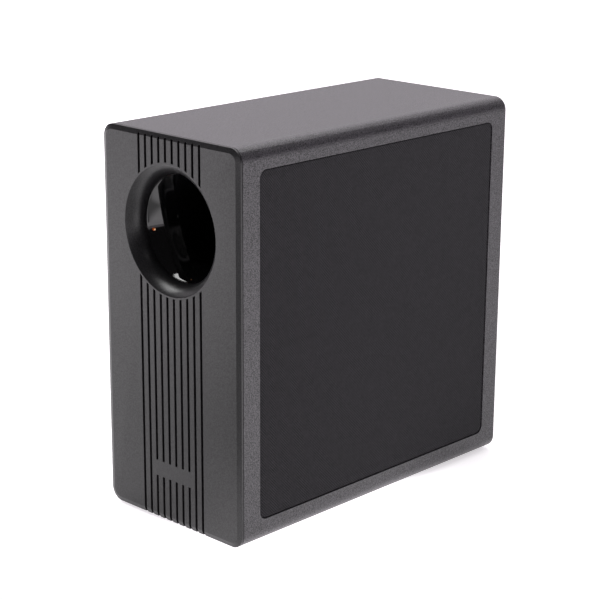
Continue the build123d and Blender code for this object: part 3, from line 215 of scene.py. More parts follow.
def mouldedPlastic(name, plastic):
    material, tree, shader, coords = startMaterial(name, {"IOR": 1.53})
    grain = addNode(tree, "ShaderNodeTexNoise",
                    {"Scale": 1000 / plastic["grain"], "Detail": 2.0, "Roughness": 0.6}, {"Vector": coords})
    speck = addNode(tree, "ShaderNodeMapRange",
                    {"From Min": 0.36, "From Max": 0.64}, {"Value": grain.outputs[0]})
    shine = addNode(tree, "ShaderNodeMapRange",
                    {"To Min": plastic["shine"] - 0.05, "To Max": plastic["shine"] + 0.05},
                    {"Value": speck.outputs[0]})
    cloud = addNode(tree, "ShaderNodeTexNoise",
                    {"Scale": 1000 / plastic["cloud"], "Detail": 3.0}, {"Vector": coords})
    colour = addNode(tree, "ShaderNodeMix",
                     {"data_type": "RGBA", 6: hexColour(plastic["colour"]), 7: hexColour(plastic["tint"])},
                     {0: speck.outputs[0]})
    gloss = addNode(tree, "ShaderNodeMapRange",
                    {"To Min": plastic["roughness"] - plastic["spread"] / 2,
                     "To Max": plastic["roughness"] + plastic["spread"] / 2}, {"Value": cloud.outputs[0]})
    bump = addNode(tree, "ShaderNodeBump", {"Distance": plastic["depth"] * mm, "Strength": 1.0},
                   {"Height": grain.outputs[0]})
    joinShader(tree, shader, {"Base Color": colour.outputs[2], "Roughness": gloss.outputs[0],
                              "Specular IOR Level": shine.outputs[0], "Normal": bump.outputs[0]})
    return material


# Vinyl film wrapped over fibreboard: embossed with a fine pebble, with small soft sparks that are painted
# highlights: light flecks of the tint colour, where the specular level is raised too. The inside of the box
# is the bare brown board. Pebble, fleck, fibre and the margin by which the bare part passes the inner walls
# are in mm.
film = {"colour": "#0a090b", "tint": "#423f44", "roughness": 0.36, "pebble": 1.6, "depth": 0.20,
        "fleck": 1.1, "dullest": 0.34, "shiniest": 0.62, "board": "#8a6a48", "boardDark": "#6b4f34",
        "boardRoughness": 0.85, "fibre": 1.2, "margin": 0.3}


def cabinetFilm(name):
    material, tree, shader, coords = startMaterial(name, {"IOR": 1.5})
    pebble = addNode(tree, "ShaderNodeTexVoronoi",
                     {"feature": "SMOOTH_F1", "Scale": 1000 / film["pebble"], "Smoothness": 0.6,
                      "Randomness": 1.0}, {"Vector": coords})
    fleck = addNode(tree, "ShaderNodeTexNoise",
                    {"Scale": 1000 / film["fleck"], "Detail": 2.0}, {"Vector": coords})
    glintFleck = addNode(tree, "ShaderNodeMapRange",
                    {"From Min": 0.36, "From Max": 0.64}, {"Value": fleck.outputs[0]})
    height = addNode(tree, "ShaderNodeMath", {"operation": "MULTIPLY_ADD", 1: 0.45},
                     {0: fleck.outputs[0], 2: pebble.outputs[0]})
    # painted highlight: the base colour lightens to the tint at these flecks, standing in for the pebble's
    # small glints
    skin = addNode(tree, "ShaderNodeMix",
                   {"data_type": "RGBA", 6: hexColour(film["colour"]), 7: hexColour(film["tint"])},
                   {0: glintFleck.outputs[0]})
    fibre = addNode(tree, "ShaderNodeTexNoise",
                    {"Scale": 1000 / film["fibre"], "Detail": 4.0, "Roughness": 0.7}, {"Vector": coords})
    board = addNode(tree, "ShaderNodeMix",
                    {"data_type": "RGBA", 6: hexColour(film["boardDark"]), 7: hexColour(film["board"])},
                    {0: fibre.outputs[0]})
    # bare board shows where a point lies inside the inner walls and ahead of the rear face
    apart = addNode(tree, "ShaderNodeSeparateXYZ", links={0: coords})
    inside = None
    for axis, (low, high) in enumerate(zip(innerLow, innerHigh)):
        middle, half = (low + high) / 2 * mm, (high - low) / 2 * mm
        reach = half + film["margin"] * mm
        offset = addNode(tree, "ShaderNodeMath", {"operation": "COMPARE", 1: middle, 2: reach},
                         {0: apart.outputs[axis]})
        inside = offset if inside is None else addNode(
            tree, "ShaderNodeMath", {"operation": "MULTIPLY"}, {0: inside.outputs[0], 1: offset.outputs[0]})
    colour = addNode(tree, "ShaderNodeMix", {"data_type": "RGBA"},
                     {0: inside.outputs[0], 6: skin.outputs[2], 7: board.outputs[2]})
    gloss = addNode(tree, "ShaderNodeMapRange",
                    {"To Min": film["roughness"], "To Max": film["boardRoughness"]},
                    {"Value": inside.outputs[0]})
    shine = addNode(tree, "ShaderNodeMapRange",
                    {"To Min": film["dullest"], "To Max": film["shiniest"]}, {"Value": glintFleck.outputs[0]})
    bump = addNode(tree, "ShaderNodeBump", {"Distance": film["depth"] * mm, "Strength": 1.0},
                   {"Height": height.outputs[0]})
    joinShader(tree, shader, {"Base Color": colour.outputs[2], "Roughness": gloss.outputs[0],
                              "Specular IOR Level": shine.outputs[0], "Normal": bump.outputs[0]})
    return material


# Medium density fibreboard, sawn and uncoated: brown, dull, with short pressed fibres.
fibreboard = {"colour": "#8c6c49", "dark": "#66492f", "fibre": 1.4, "roughness": 0.86, "depth": 0.08}


def rawFibreboard(name):
    material, tree, shader, coords = startMaterial(
        name, {"Roughness": fibreboard["roughness"], "IOR": 1.45})
    fibre = addNode(tree, "ShaderNodeTexNoise",
                    {"Scale": 1000 / fibreboard["fibre"], "Detail": 5.0, "Roughness": 0.75,
                     "Distortion": 1.2}, {"Vector": coords})
    ramp = addNode(tree, "ShaderNodeMapRange",
                   {"From Min": 0.35, "From Max": 0.7}, {"Value": fibre.outputs[0]})
    colour = addNode(tree, "ShaderNodeMix",
                     {"data_type": "RGBA", 6: hexColour(fibreboard["dark"]),
                      7: hexColour(fibreboard["colour"])},
                     {0: ramp.outputs[0]})
    bump = addNode(tree, "ShaderNodeBump",
                   {"Distance": fibreboard["depth"] * mm}, {"Height": fibre.outputs[0]})
    joinShader(tree, shader, {"Base Color": colour.outputs[2], "Normal": bump.outputs[0]})
    return material


# Polished ABS from a mirror-finished tool: deep black with crisp reflections, which a slow
# ripple of about 20 mm bends very slightly.
polish = {"colour": "#050506", "roughness": 0.045, "ripple": 22.0, "depth": 0.02}


def polishedHorn(name):
    material, tree, shader, coords = startMaterial(
        name, {"Base Color": hexColour(polish["colour"]), "IOR": 1.53})
    ripple = addNode(tree, "ShaderNodeTexNoise",
                     {"Scale": 1000 / polish["ripple"], "Detail": 1.0}, {"Vector": coords})
    gloss = addNode(tree, "ShaderNodeMapRange",
                    {"To Min": polish["roughness"] - 0.015, "To Max": polish["roughness"] + 0.015},
                    {"Value": ripple.outputs[0]})
    bump = addNode(tree, "ShaderNodeBump", {"Distance": polish["depth"] * mm}, {"Height": ripple.outputs[0]})
    joinShader(tree, shader, {"Roughness": gloss.outputs[0], "Normal": bump.outputs[0]})
    return material


# Polyester yarns over and under each other. The real pitch is near 0.6 mm, too fine to show,
# so it is drawn at the pitch given here. The colour falls to the dark colour in the hollows between
# the raised crossings: painted shade in the weave. Dull, with a little fuzz that lightens it at a slant.
weaves = {
    "grille_cloth": {"light": "#302e32", "dark": "#020203", "pitch": 3.2, "depth": 0.16,
                     "roughness": 0.92, "sheen": 0.05, "slub": 9.0},
    "spider_cloth": {"light": "#b98a3e", "dark": "#6e4a1c", "pitch": 1.3, "depth": 0.12,
                     "roughness": 0.75, "sheen": 0.03, "slub": 14.0},
}


def wovenCloth(name, weave):
    material, tree, shader, coords = startMaterial(
        name, {"Roughness": weave["roughness"], "IOR": 1.45, "Sheen Weight": weave["sheen"],
               "Sheen Roughness": 0.5, "Specular IOR Level": 0.25})
    apart = addNode(tree, "ShaderNodeSeparateXYZ", links={0: coords})
    turns = 2 * math.pi * 1000 / weave["pitch"]
    yarn = []
    for axis in (1, 2):
        phase = addNode(tree, "ShaderNodeMath", {"operation": "MULTIPLY", 1: turns}, {0: apart.outputs[axis]})
        yarn.append(addNode(tree, "ShaderNodeMath", {"operation": "SINE"}, {0: phase.outputs[0]}))
    # over and under: the product of the two waves is a chequer of raised crossings
    crossing = addNode(tree, "ShaderNodeMath", {"operation": "MULTIPLY"},
                       {0: yarn[0].outputs[0], 1: yarn[1].outputs[0]})
    slub = addNode(tree, "ShaderNodeTexNoise",
                   {"Scale": 1000 / weave["slub"], "Detail": 4.0, "Roughness": 0.65}, {"Vector": coords})
    fuzz = addNode(tree, "ShaderNodeTexNoise",
                   {"Scale": 1000 / (weave["pitch"] * 0.8), "Detail": 2.0}, {"Vector": coords})
    height = addNode(tree, "ShaderNodeMath", {"operation": "MULTIPLY_ADD", 1: 1.2},
                     {0: fuzz.outputs[0], 2: crossing.outputs[0]})
    # painted shade: the tone drops towards the dark colour where the weave's height is low, between the
    # crossings
    crossingShade = addNode(tree, "ShaderNodeMapRange",
                   {"From Min": -0.6, "From Max": 1.9}, {"Value": height.outputs[0]})
    shade = addNode(tree, "ShaderNodeMath", {"operation": "MULTIPLY_ADD", 1: 0.35, 2: -0.17},
                    {0: slub.outputs[0]})
    mixed = addNode(tree, "ShaderNodeMath", {"operation": "ADD", "use_clamp": True},
                    {0: crossingShade.outputs[0], 1: shade.outputs[0]})
    colour = addNode(tree, "ShaderNodeMix",
                     {"data_type": "RGBA", 6: hexColour(weave["dark"]), 7: hexColour(weave["light"])},
                     {0: mixed.outputs[0]})
    bump = addNode(tree, "ShaderNodeBump", {"Distance": weave["depth"] * mm, "Strength": 0.8},
                   {"Height": height.outputs[0]})
    joinShader(tree, shader, {"Base Color": colour.outputs[2], "Normal": bump.outputs[0]})
    return material


# Pressed paper pulp, dyed black: long fibres lie every way, and it is dull with a faint nap.
paper = {"colour": "#262524", "dark": "#151413", "fibre": 2.2, "roughness": 0.8, "depth": 0.12}


def pressedPaper(name):
    material, tree, shader, coords = startMaterial(
        name, {"Roughness": paper["roughness"], "Sheen Weight": 0.08, "Sheen Roughness": 0.4})
    fibre = addNode(tree, "ShaderNodeTexNoise",
                    {"Scale": 1000 / paper["fibre"], "Detail": 6.0, "Roughness": 0.7, "Distortion": 2.0},
                    {"Vector": coords})
    colour = addNode(tree, "ShaderNodeMix",
                     {"data_type": "RGBA", 6: hexColour(paper["dark"]), 7: hexColour(paper["colour"])},
                     {0: fibre.outputs[0]})
    bump = addNode(tree, "ShaderNodeBump", {"Distance": paper["depth"] * mm}, {"Height": fibre.outputs[0]})
    joinShader(tree, shader, {"Base Color": colour.outputs[2], "Normal": bump.outputs[0]})
    return material


# Metals. Painted steel takes the paint's colour and an orange-peel skin, plated and oxidised
# screws and brass are bare metal with fine turning or rolling marks. Grain and depth in mm.
metals = {
    "black_steel": {"colour": "#151516", "worn": "#1f1f20", "metallic": 0.0, "roughness": 0.5,
                    "grain": 2.5, "depth": 0.03},
    "amp_steel": {"colour": "#141415", "worn": "#1c1c1e", "metallic": 0.0, "roughness": 0.58,
                  "grain": 1.1, "depth": 0.06},
    "screw_steel": {"colour": "#2c2c2e", "worn": "#55565a", "metallic": 1.0, "roughness": 0.42,
                    "grain": 1.0, "depth": 0.01},
    "plated_steel": {"colour": "#b9b7ad", "worn": "#8f8d86", "metallic": 1.0, "roughness": 0.33,
                     "grain": 3.0, "depth": 0.01},
    "bare_aluminium": {"colour": "#a9abad", "worn": "#8b8d90", "metallic": 1.0, "roughness": 0.36,
                       "grain": 1.6, "depth": 0.02},
    "contact_brass": {"colour": "#d1a94e", "worn": "#a98233", "metallic": 1.0, "roughness": 0.22,
                      "grain": 2.0, "depth": 0.01},
}


def steel(name, metal):
    material, tree, shader, coords = startMaterial(name, {"Metallic": metal["metallic"]})
    grain = addNode(tree, "ShaderNodeTexNoise",
                    {"Scale": 1000 / metal["grain"], "Detail": 4.0, "Roughness": 0.6}, {"Vector": coords})
    smear = addNode(tree, "ShaderNodeTexNoise",
                    {"Scale": 1000 / (metal["grain"] * 12), "Detail": 3.0}, {"Vector": coords})
    patch = addNode(tree, "ShaderNodeMapRange",
                    {"From Min": 0.4, "From Max": 0.75}, {"Value": smear.outputs[0]})
    colour = addNode(tree, "ShaderNodeMix",
                     {"data_type": "RGBA", 6: hexColour(metal["colour"]), 7: hexColour(metal["worn"])},
                     {0: patch.outputs[0]})
    gloss = addNode(tree, "ShaderNodeMapRange",
                    {"To Min": metal["roughness"] - 0.07, "To Max": metal["roughness"] + 0.1},
                    {"Value": smear.outputs[0]})
    bump = addNode(tree, "ShaderNodeBump", {"Distance": metal["depth"] * mm}, {"Height": grain.outputs[0]})
    joinShader(tree, shader, {"Base Color": colour.outputs[2], "Roughness": gloss.outputs[0],
                              "Normal": bump.outputs[0]})
    return material


# Soft and powdery stuffs: sintered ferrite, moulded rubber, closed-cell foam, glass-smooth
# polyimide film and polyester fibre. Speck is the size of their visible grain in mm.
softs = {
    "ferrite": {"colour": "#2a2a2c", "dark": "#1d1d1f", "speck": 0.9, "roughness": 0.72,
                "depth": 0.06, "sheen": 0.0},
    "soft_rubber": {"colour": "#161617", "dark": "#0f0f10", "speck": 1.6, "roughness": 0.62,
                    "depth": 0.02, "sheen": 0.1},
    "seal_foam": {"colour": "#1c1c1d", "dark": "#0d0d0e", "speck": 0.7, "roughness": 0.95,
                  "depth": 0.2, "sheen": 0.1},
    "former_foil": {"colour": "#b5762a", "dark": "#8f5717", "speck": 6.0, "roughness": 0.25,
                    "depth": 0.01, "sheen": 0.0},
    "wadding": {"colour": "#e4e2dc", "dark": "#a9a69e", "speck": 3.5, "roughness": 0.97,
                "depth": 0.8, "sheen": 0.4},
}


def softStuff(name, soft):
    material, tree, shader, coords = startMaterial(
        name, {"Roughness": soft["roughness"], "Sheen Weight": soft["sheen"], "Sheen Roughness": 0.5})
    speck = addNode(tree, "ShaderNodeTexNoise",
                    {"Scale": 1000 / soft["speck"], "Detail": 5.0, "Roughness": 0.7, "Distortion": 0.8},
                    {"Vector": coords})
    colour = addNode(tree, "ShaderNodeMix",
                     {"data_type": "RGBA", 6: hexColour(soft["dark"]), 7: hexColour(soft["colour"])},
                     {0: speck.outputs[0]})
    bump = addNode(tree, "ShaderNodeBump", {"Distance": soft["depth"] * mm}, {"Height": speck.outputs[0]})
    joinShader(tree, shader, {"Base Color": colour.outputs[2], "Normal": bump.outputs[0]})
    return material


# Enamelled copper wound turn by turn: bright brown metal in fine rings across the X axis, with a dark colour
# in the gaps between turns that is painted shade.
winding = {"colour": "#b5602c", "gap": "#4a2410", "pitch": 0.7, "depth": 0.12}


def copperWinding(name):
    material, tree, shader, coords = startMaterial(name, {"Metallic": 1.0, "Roughness": 0.28})
    rings = addNode(tree, "ShaderNodeTexWave",
                    {"wave_type": "BANDS", "bands_direction": "X", "Distortion": 0.0,
                     "Scale": 2 * math.pi * 1000 / (20 * winding["pitch"])}, {"Vector": coords})
    # painted shade: the rings fall to the dark gap colour between the turns
    colour = addNode(tree, "ShaderNodeMix",
                     {"data_type": "RGBA", 6: hexColour(winding["gap"]), 7: hexColour(winding["colour"])},
                     {0: rings.outputs[1]})
    bump = addNode(tree, "ShaderNodeBump", {"Distance": winding["depth"] * mm}, {"Height": rings.outputs[1]})
    joinShader(tree, shader, {"Base Color": colour.outputs[2], "Normal": bump.outputs[0]})
    return material


# Glass-fibre board under green solder resist: raised copper tracks show as paler lines.
circuit = {"resist": "#0f3a22", "track": "#1f6a3c", "pad": "#b9b28a", "pitch": 5.0, "jitter": 0.35,
           "trackWidth": 0.07, "padRadius": 0.16, "depth": 0.04}


def circuitBoard(name):
    material, tree, shader, coords = startMaterial(name, {"Roughness": 0.32, "Coat Weight": 0.3})
    tracks = addNode(tree, "ShaderNodeTexVoronoi",
                     {"feature": "DISTANCE_TO_EDGE", "distance": "EUCLIDEAN",
                      "Scale": 1000 / circuit["pitch"], "Randomness": circuit["jitter"]},
                     {"Vector": coords})
    line = addNode(tree, "ShaderNodeMath", {"operation": "LESS_THAN", 1: circuit["trackWidth"]},
                   {0: tracks.outputs[0]})
    pads = addNode(tree, "ShaderNodeTexVoronoi",
                   {"feature": "F1", "Scale": 1000 / circuit["pitch"],
                    "Randomness": circuit["jitter"]}, {"Vector": coords})
    pad = addNode(tree, "ShaderNodeMath", {"operation": "LESS_THAN", 1: circuit["padRadius"]},
                  {0: pads.outputs[0]})
    ground = addNode(tree, "ShaderNodeMix",
                     {"data_type": "RGBA", 6: hexColour(circuit["resist"]), 7: hexColour(circuit["track"])},
                     {0: line.outputs[0]})
    colour = addNode(tree, "ShaderNodeMix", {"data_type": "RGBA", 7: hexColour(circuit["pad"])},
                     {0: pad.outputs[0], 6: ground.outputs[2]})
    bump = addNode(tree, "ShaderNodeBump", {"Distance": circuit["depth"] * mm}, {"Height": line.outputs[0]})
    joinShader(tree, shader, {"Base Color": colour.outputs[2], "Normal": bump.outputs[0]})
    return material


# Amber epoxy lens, lit: nearly white over the chip and amber towards its rim.
lens = {"core": "#ffe0b0", "rim": "#8a3a06", "glow": 0.7, "coreRadius": 0.25, "rimRadius": 1.2}


def amberLens(name):
    material, tree, shader, coords = startMaterial(
        name, {"Roughness": 0.2, "IOR": 1.54, "Emission Strength": lens["glow"]})
    apart = addNode(tree, "ShaderNodeSeparateXYZ", links={0: coords})
    lampLow, lampHigh = place("status_led")
    middle = (lampLow + lampHigh) / 2 * mm
    squares = []
    for axis in (1, 2):
        offset = addNode(tree, "ShaderNodeMath", {"operation": "SUBTRACT", 1: middle[axis]},
                         {0: apart.outputs[axis]})
        square = addNode(tree, "ShaderNodeMath", {"operation": "POWER", 1: 2.0}, {0: offset.outputs[0]})
        squares.append(square)
    total = addNode(tree, "ShaderNodeMath", {"operation": "ADD"},
                    {0: squares[0].outputs[0], 1: squares[1].outputs[0]})
    distance = addNode(tree, "ShaderNodeMath", {"operation": "SQRT"}, {0: total.outputs[0]})
    share = addNode(tree, "ShaderNodeMapRange",
                    {"From Min": lens["coreRadius"] * mm, "From Max": lens["rimRadius"] * mm},
                    {"Value": distance.outputs[0]})
    colour = addNode(tree, "ShaderNodeMix",
                     {"data_type": "RGBA", 6: hexColour(lens["core"]), 7: hexColour(lens["rim"])},
                     {0: share.outputs[0]})
    joinShader(tree, shader, {"Base Color": colour.outputs[2], "Emission Color": colour.outputs[2]})
    return material


# Extruded PVC: two colours in one node, parted by height or depth, with a soft plastic gloss
# and a skin that is barely rough. Speck and depth in mm.
sleeves = {
    "wire_sleeve": {"low": "#101011", "high": "#8a1512", "axis": 2, "roughness": 0.4},
    "capacitor_sleeve": {"low": "#b9bbbd", "high": "#1a2342", "axis": 1, "roughness": 0.35},
}

sleeveSkin = {"speck": 2.5, "depth": 0.02}


def extrudedSleeve(name, sleeve, border):
    material, tree, shader, coords = startMaterial(name, {"Roughness": sleeve["roughness"], "IOR": 1.54})
    apart = addNode(tree, "ShaderNodeSeparateXYZ", links={0: coords})
    above = addNode(tree, "ShaderNodeMath", {"operation": "GREATER_THAN", 1: border * mm},
                    {0: apart.outputs[sleeve["axis"]]})
    colour = addNode(tree, "ShaderNodeMix",
                     {"data_type": "RGBA", 6: hexColour(sleeve["low"]), 7: hexColour(sleeve["high"])},
                     {0: above.outputs[0]})
    skin = addNode(tree, "ShaderNodeTexNoise",
                   {"Scale": 1000 / sleeveSkin["speck"], "Detail": 3.0}, {"Vector": coords})
    bump = addNode(tree, "ShaderNodeBump", {"Distance": sleeveSkin["depth"] * mm},
                   {"Height": skin.outputs[0]})
    joinShader(tree, shader, {"Base Color": colour.outputs[2], "Normal": bump.outputs[0]})
    return material


# places read from the frame
leftLow = place("left_panel")[0]
hornLow, hornHigh = place("port_horn")
tubeLow, tubeHigh = place("port_tube")
basketLow, basketHigh = place("driver_basket")
clothHigh = place("grille_cloth")[1]
frameLow, frameHigh = place("grille_frame")
rearBoardHigh = place("rear_panel")[1]
frontBoardLow, frontBoardHigh = place("front_board")
coneHigh = place("cone")[1]
capHigh = place("dust_cap")[1]
portCentre = (tubeLow + tubeHigh) / 2
driverCentre = (basketLow + basketHigh) / 2
# the inner walls' corners, from the left panel's front edge to just inside the rear face
innerLow = np.array([frontBoardLow[0], leftLow[1] - 1, frontBoardLow[2]])
innerHigh = np.array([frontBoardHigh[0], rearBoardHigh[1] - 1, frontBoardHigh[2]])

materials = {}
for prefix, maker, finishes in (("moulded ", mouldedPlastic, plastics), ("", steel, metals),
                                ("", softStuff, softs), ("woven ", wovenCloth, weaves)):
    for name, values in finishes.items():
        materials[name] = maker(prefix + name.replace("_", " "), values)
materials["cabinet_board"] = cabinetFilm("vinyl film on board")
materials["raw_board"] = rawFibreboard("raw fibreboard")
materials["gloss_black"] = polishedHorn("polished black ABS")
materials["cone_paper"] = pressedPaper("pressed paper pulp")
materials["copper_wire"] = copperWinding("enamelled copper winding")
materials["circuit_board"] = circuitBoard("circuit board")
materials["lamp_lens"] = amberLens("amber epoxy lens")
materials["wire_sleeve"] = extrudedSleeve("PVC wire sleeve", sleeves["wire_sleeve"], driverCentre[2])
# the bare metal ends of the capacitors are 0.6 mm deep
materials["capacitor_sleeve"] = extrudedSleeve(
    "capacitor sleeve", sleeves["capacitor_sleeve"], place("capacitors")[0][1] + 0.6)
for node, piece in cadNodes.items():
    slotName = piece.data.materials[0].name.split(".")[0] if piece.data.materials else "black_plastic"
    if slotName not in materials:
        print("no finish for slot", slotName, "of", node)
    piece.data.materials.clear()
    piece.data.materials.append(materials.get(slotName, materials["black_plastic"]))
    piece["slotName"] = slotName
print("materials made:", len(materials))


# front panel: a merged copy of its node with rounded edges, in mm and degrees
frontEdges = {"width": 0.25, "segments": 2, "flatAngle": 0.4, "sharpAngle": 13}


def roundedCopy(name, node, edges):
    # the node's triangles are merged, flat areas are joined again and sharp edges rounded
    mesh = cadNodes[node].data.copy()
    mesh.name = name
    work = bmesh.new()
    work.from_mesh(mesh)
    bmesh.ops.remove_doubles(work, verts=work.verts, dist=1e-6)
    flatAngle = math.radians(edges["flatAngle"])
    bmesh.ops.dissolve_limit(work, angle_limit=flatAngle, verts=work.verts, edges=work.edges)
    work.to_mesh(mesh)
    work.free()
    mesh.shade_smooth()
    mesh.set_sharp_from_angle(angle=math.radians(edges["sharpAngle"]))
    piece = linkPiece(name, mesh)
    bevel = piece.modifiers.new("rounded edges", "BEVEL")
    bevel.width = edges["width"] * mm
    bevel.segments = edges["segments"]
    bevel.limit_method = "ANGLE"
    bevel.angle_limit = math.radians(edges["sharpAngle"])
    bevel.harden_normals = True
    bevel.use_clamp_overlap = True
    slotName = cadNodes[node]["slotName"]
    return fit(piece, bodyOf[node], materials[slotName], [node])


roundedCopy("frontPanel", "front_panel", frontEdges)
print("front panel made")


# port horn: one turned wall, its flange trimmed between the side walls
hornShape = {"mouthRadius": 57.0, "mouthAngle": 38.66, "mouthLead": 16.0, "throatRadius": 34.0,
             "throatLead": 37.0, "length": 75.0, "wall": 2.5, "flange": 80.0, "flangeThickness": 3.0,
             "collar": 0.8, "lip": 0.35, "sideRoom": 1.5}


def hornProfile(shape, startY, endY):
    # the inner wall is a cubic curve that leaves the mouth at its angle and meets the throat
    # square: the sum of its four points times (1-t)^3, 3t(1-t)^2, 3t^2(1-t) and t^3. The outer
    # wall is the same curve pushed out by one wall thickness, and the flange joins them
    throat = startY + shape["length"]
    fall = shape["mouthLead"] * math.tan(math.radians(shape["mouthAngle"]))
    points = np.array([(startY, shape["mouthRadius"]),
                       (startY + shape["mouthLead"], shape["mouthRadius"] - fall),
                       (throat - shape["throatLead"], shape["throatRadius"]),
                       (throat, shape["throatRadius"])])
    t = np.linspace(0, 1, 48)[:, None]
    weights = np.hstack([(1 - t) ** 3, 3 * t * (1 - t) ** 2, 3 * t ** 2 * (1 - t), t ** 3])
    curve = weights @ points
    turn = np.linspace(0, math.pi / 2, 5)[:, None]
    mouth = np.hstack([startY + shape["lip"] * (1 - np.sin(turn)),
                       shape["mouthRadius"] + shape["lip"] * (1 - np.cos(turn))])[::-1]
    inner = np.vstack([mouth, curve[1:], [[endY, shape["throatRadius"]]]])
    push = shape["wall"] / math.cos(math.radians(shape["mouthAngle"]))
    back = curve[::-4] + [0, push]
    back = back[back[:, 0] > startY + shape["flangeThickness"]]
    outer = np.vstack([[[endY, shape["throatRadius"] + shape["wall"]]], back])
    flange = np.array([[startY + shape["flangeThickness"], shape["mouthRadius"] + shape["collar"]],
                       [startY + shape["flangeThickness"], shape["flange"]], [startY, shape["flange"]]])
    return np.vstack([inner, outer, flange])


hornGrid = turned(hornProfile(hornShape, hornLow[1], hornHigh[1]), "y", portCentre, steps=160)
innerSides = (frontBoardLow[0] + hornShape["sideRoom"], place("driver_baffle")[0][0] - hornShape["sideRoom"])
hornGrid[..., 0] = np.clip(hornGrid[..., 0], *innerSides)
fit(makePiece("portHorn", [(hornGrid, True, True)], 40), "cabinet",
    materials["gloss_black"], ["port_horn"])
print("port horn made")


# grille cloth: stretched over the frame's edges and glued down behind
clothShape = {"cornerRadius": 8.0, "thickness": 0.36, "edgeRadius": 1.3, "sideRoom": 0.3, "hem": 3.0,
              "backRoom": 0.1, "rings": 26}


def clothGrid(shape):
    # rings of a rounded rectangle: rings shrink across the flat face, then a quarter circle
    # turns them over the edge, the sides run back and the hem turns in behind the frame
    middle = (frameLow + frameHigh) / 2
    size = (frameHigh - frameLow)[1:] + 2 * shape["sideRoom"]
    faceX = clothHigh[0] - shape["thickness"] / 2
    backX = frameLow[0] - shape["thickness"] / 2 - shape["backRoom"]
    turn = np.linspace(0, math.pi / 2, 6)
    half = size.min() / 2
    face = np.column_stack([np.linspace(half - 4, shape["edgeRadius"], shape["rings"])[:-1],
                            np.full(shape["rings"] - 1, faceX)])
    edge = np.column_stack([shape["edgeRadius"] * (1 - np.sin(turn)),
                            faceX - shape["edgeRadius"] * (1 - np.cos(turn))])
    side = np.column_stack([np.zeros(3), np.linspace(faceX - 3, backX + 0.5, 3)])
    hem = np.array([[0.15, backX + 0.15], [0.5, backX], [shape["hem"], backX]])
    rings = []
    for inset, x in np.vstack([face, edge, side, hem]):
        outline = roundedOutline(size[0] - 2 * inset, size[1] - 2 * inset,
                                 max(shape["cornerRadius"] - inset, min(2.0, (half - inset) / 2)))
        rings.append(np.column_stack([np.full(len(outline), x), outline + middle[1:]]))
    centre = np.broadcast_to([faceX, *middle[1:]], rings[0].shape)
    return np.stack([centre] + rings)


clothPoints = clothGrid(clothShape)


def openSheet(name, grid):
    # as makePiece, but the sheet's edge stays open; its thickness comes from Solidify
    rows, columns = grid.shape[:2]
    index = np.arange(rows * columns).reshape(rows, columns)
    index = np.hstack([index, index[:, :1]])
    quads = np.stack([index[:-1, :-1], index[:-1, 1:], index[1:, 1:], index[1:, :-1]], axis=-1)
    mesh = bpy.data.meshes.new(name)
    mesh.from_pydata((grid.reshape(-1, 3) * mm).tolist(), [], quads.reshape(-1, 4).tolist())
    tidyMesh(mesh, 60, fillEnds=False)
    return linkPiece(name, mesh)


clothPiece = openSheet("grilleCloth", clothPoints)
thickness = clothPiece.modifiers.new("cloth thickness", "SOLIDIFY")
thickness.thickness = clothShape["thickness"] * mm
thickness.offset = 0
fit(clothPiece, "grille", materials["grille_cloth"], ["grille_cloth"])


# driver: surround and spider, each made in sectors
rollShape = {"middle": 89.0, "radius": 7.0, "thickness": 0.7, "outerLand": 3.6, "innerLand": 4.0,
             "sectors": 24, "steps": 7}
spiderShape = {"inner": 25.62, "outer": 64.0, "flat": 54.0, "wave": 1.2, "thickness": 0.5, "waves": 4}


def rollProfile(shape, faceX):
    # flat land, half circle, flat land, and the same line back at the thickness below it
    turn = np.linspace(math.pi, 0, 17)
    rise, across = np.sin(turn), np.cos(turn)
    top = np.column_stack([faceX + shape["radius"] * rise, shape["middle"] + shape["radius"] * across])
    inside = shape["radius"] - shape["thickness"]
    low = np.column_stack([faceX + inside * rise, shape["middle"] + inside * across])[::-1]
    innerEdge = shape["middle"] - shape["radius"] - shape["innerLand"] + shape["thickness"]
    outerEdge = shape["middle"] + shape["radius"] + shape["outerLand"]
    lift = shape["thickness"]
    start = np.array([[faceX, innerEdge], [faceX + lift, innerEdge + 0.1]])
    end = np.array([[faceX + lift, outerEdge - 0.1], [faceX, outerEdge]])
    raised = top.copy()
    raised[:, 0] = np.maximum(raised[:, 0], faceX + lift)
    return np.vstack([start, raised, end, low])


def spiderProfile(shape, x):
    # a sine wave along the radius out to the flat rim, and the same line back at its thickness
    reach = np.linspace(shape["inner"], shape["flat"], 81)
    share = (reach - shape["inner"]) / (shape["flat"] - shape["inner"])
    front = np.column_stack([x + shape["wave"] * np.sin(2 * math.pi * shape["waves"] * share), reach])
    front = np.vstack([front, [[x, shape["outer"]]]])
    back = front[::-1] + [shape["thickness"], 0]
    return np.vstack([front, back])


def bendingSectors(name, profile, slotName, node):
    # each sector is the profile turned through its share of a full turn about the driver's axis
    count = rollShape["sectors"]
    angle = 360 / count
    for k in range(count):
        grid = turned(profile, "x", driverCentre, rollShape["steps"], k * angle, angle - 1e-6)
        piece = makePiece(f"{name}{k + 1:02d}", [(grid, True, False)], 50)
        piece.data.materials.append(materials[slotName])
        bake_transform(piece)
        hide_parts(node)


surroundLow = place("surround")[0]
spiderLow = place("spider")[0]
bendingSectors("surround", rollProfile(rollShape, surroundLow[0]), "soft_rubber", "surround")
spiderX = spiderLow[0] + spiderShape["wave"]
bendingSectors("spider", spiderProfile(spiderShape, spiderX), "spider_cloth", "spider")
print("surround and spider made")


# paper cone and dust cap
coneShape = {"edge": 81.8, "lip": 77.6, "neck": 25.62, "neckDepth": 30.8, "wall": 0.9,
             "rim": 0.7, "ribs": (38.0, 48.0, 58.0, 68.0), "ribHeight": 0.35, "ribWidth": 1.4}
capShape = {"radius": 32.0, "height": 8.0, "wall": 0.6}


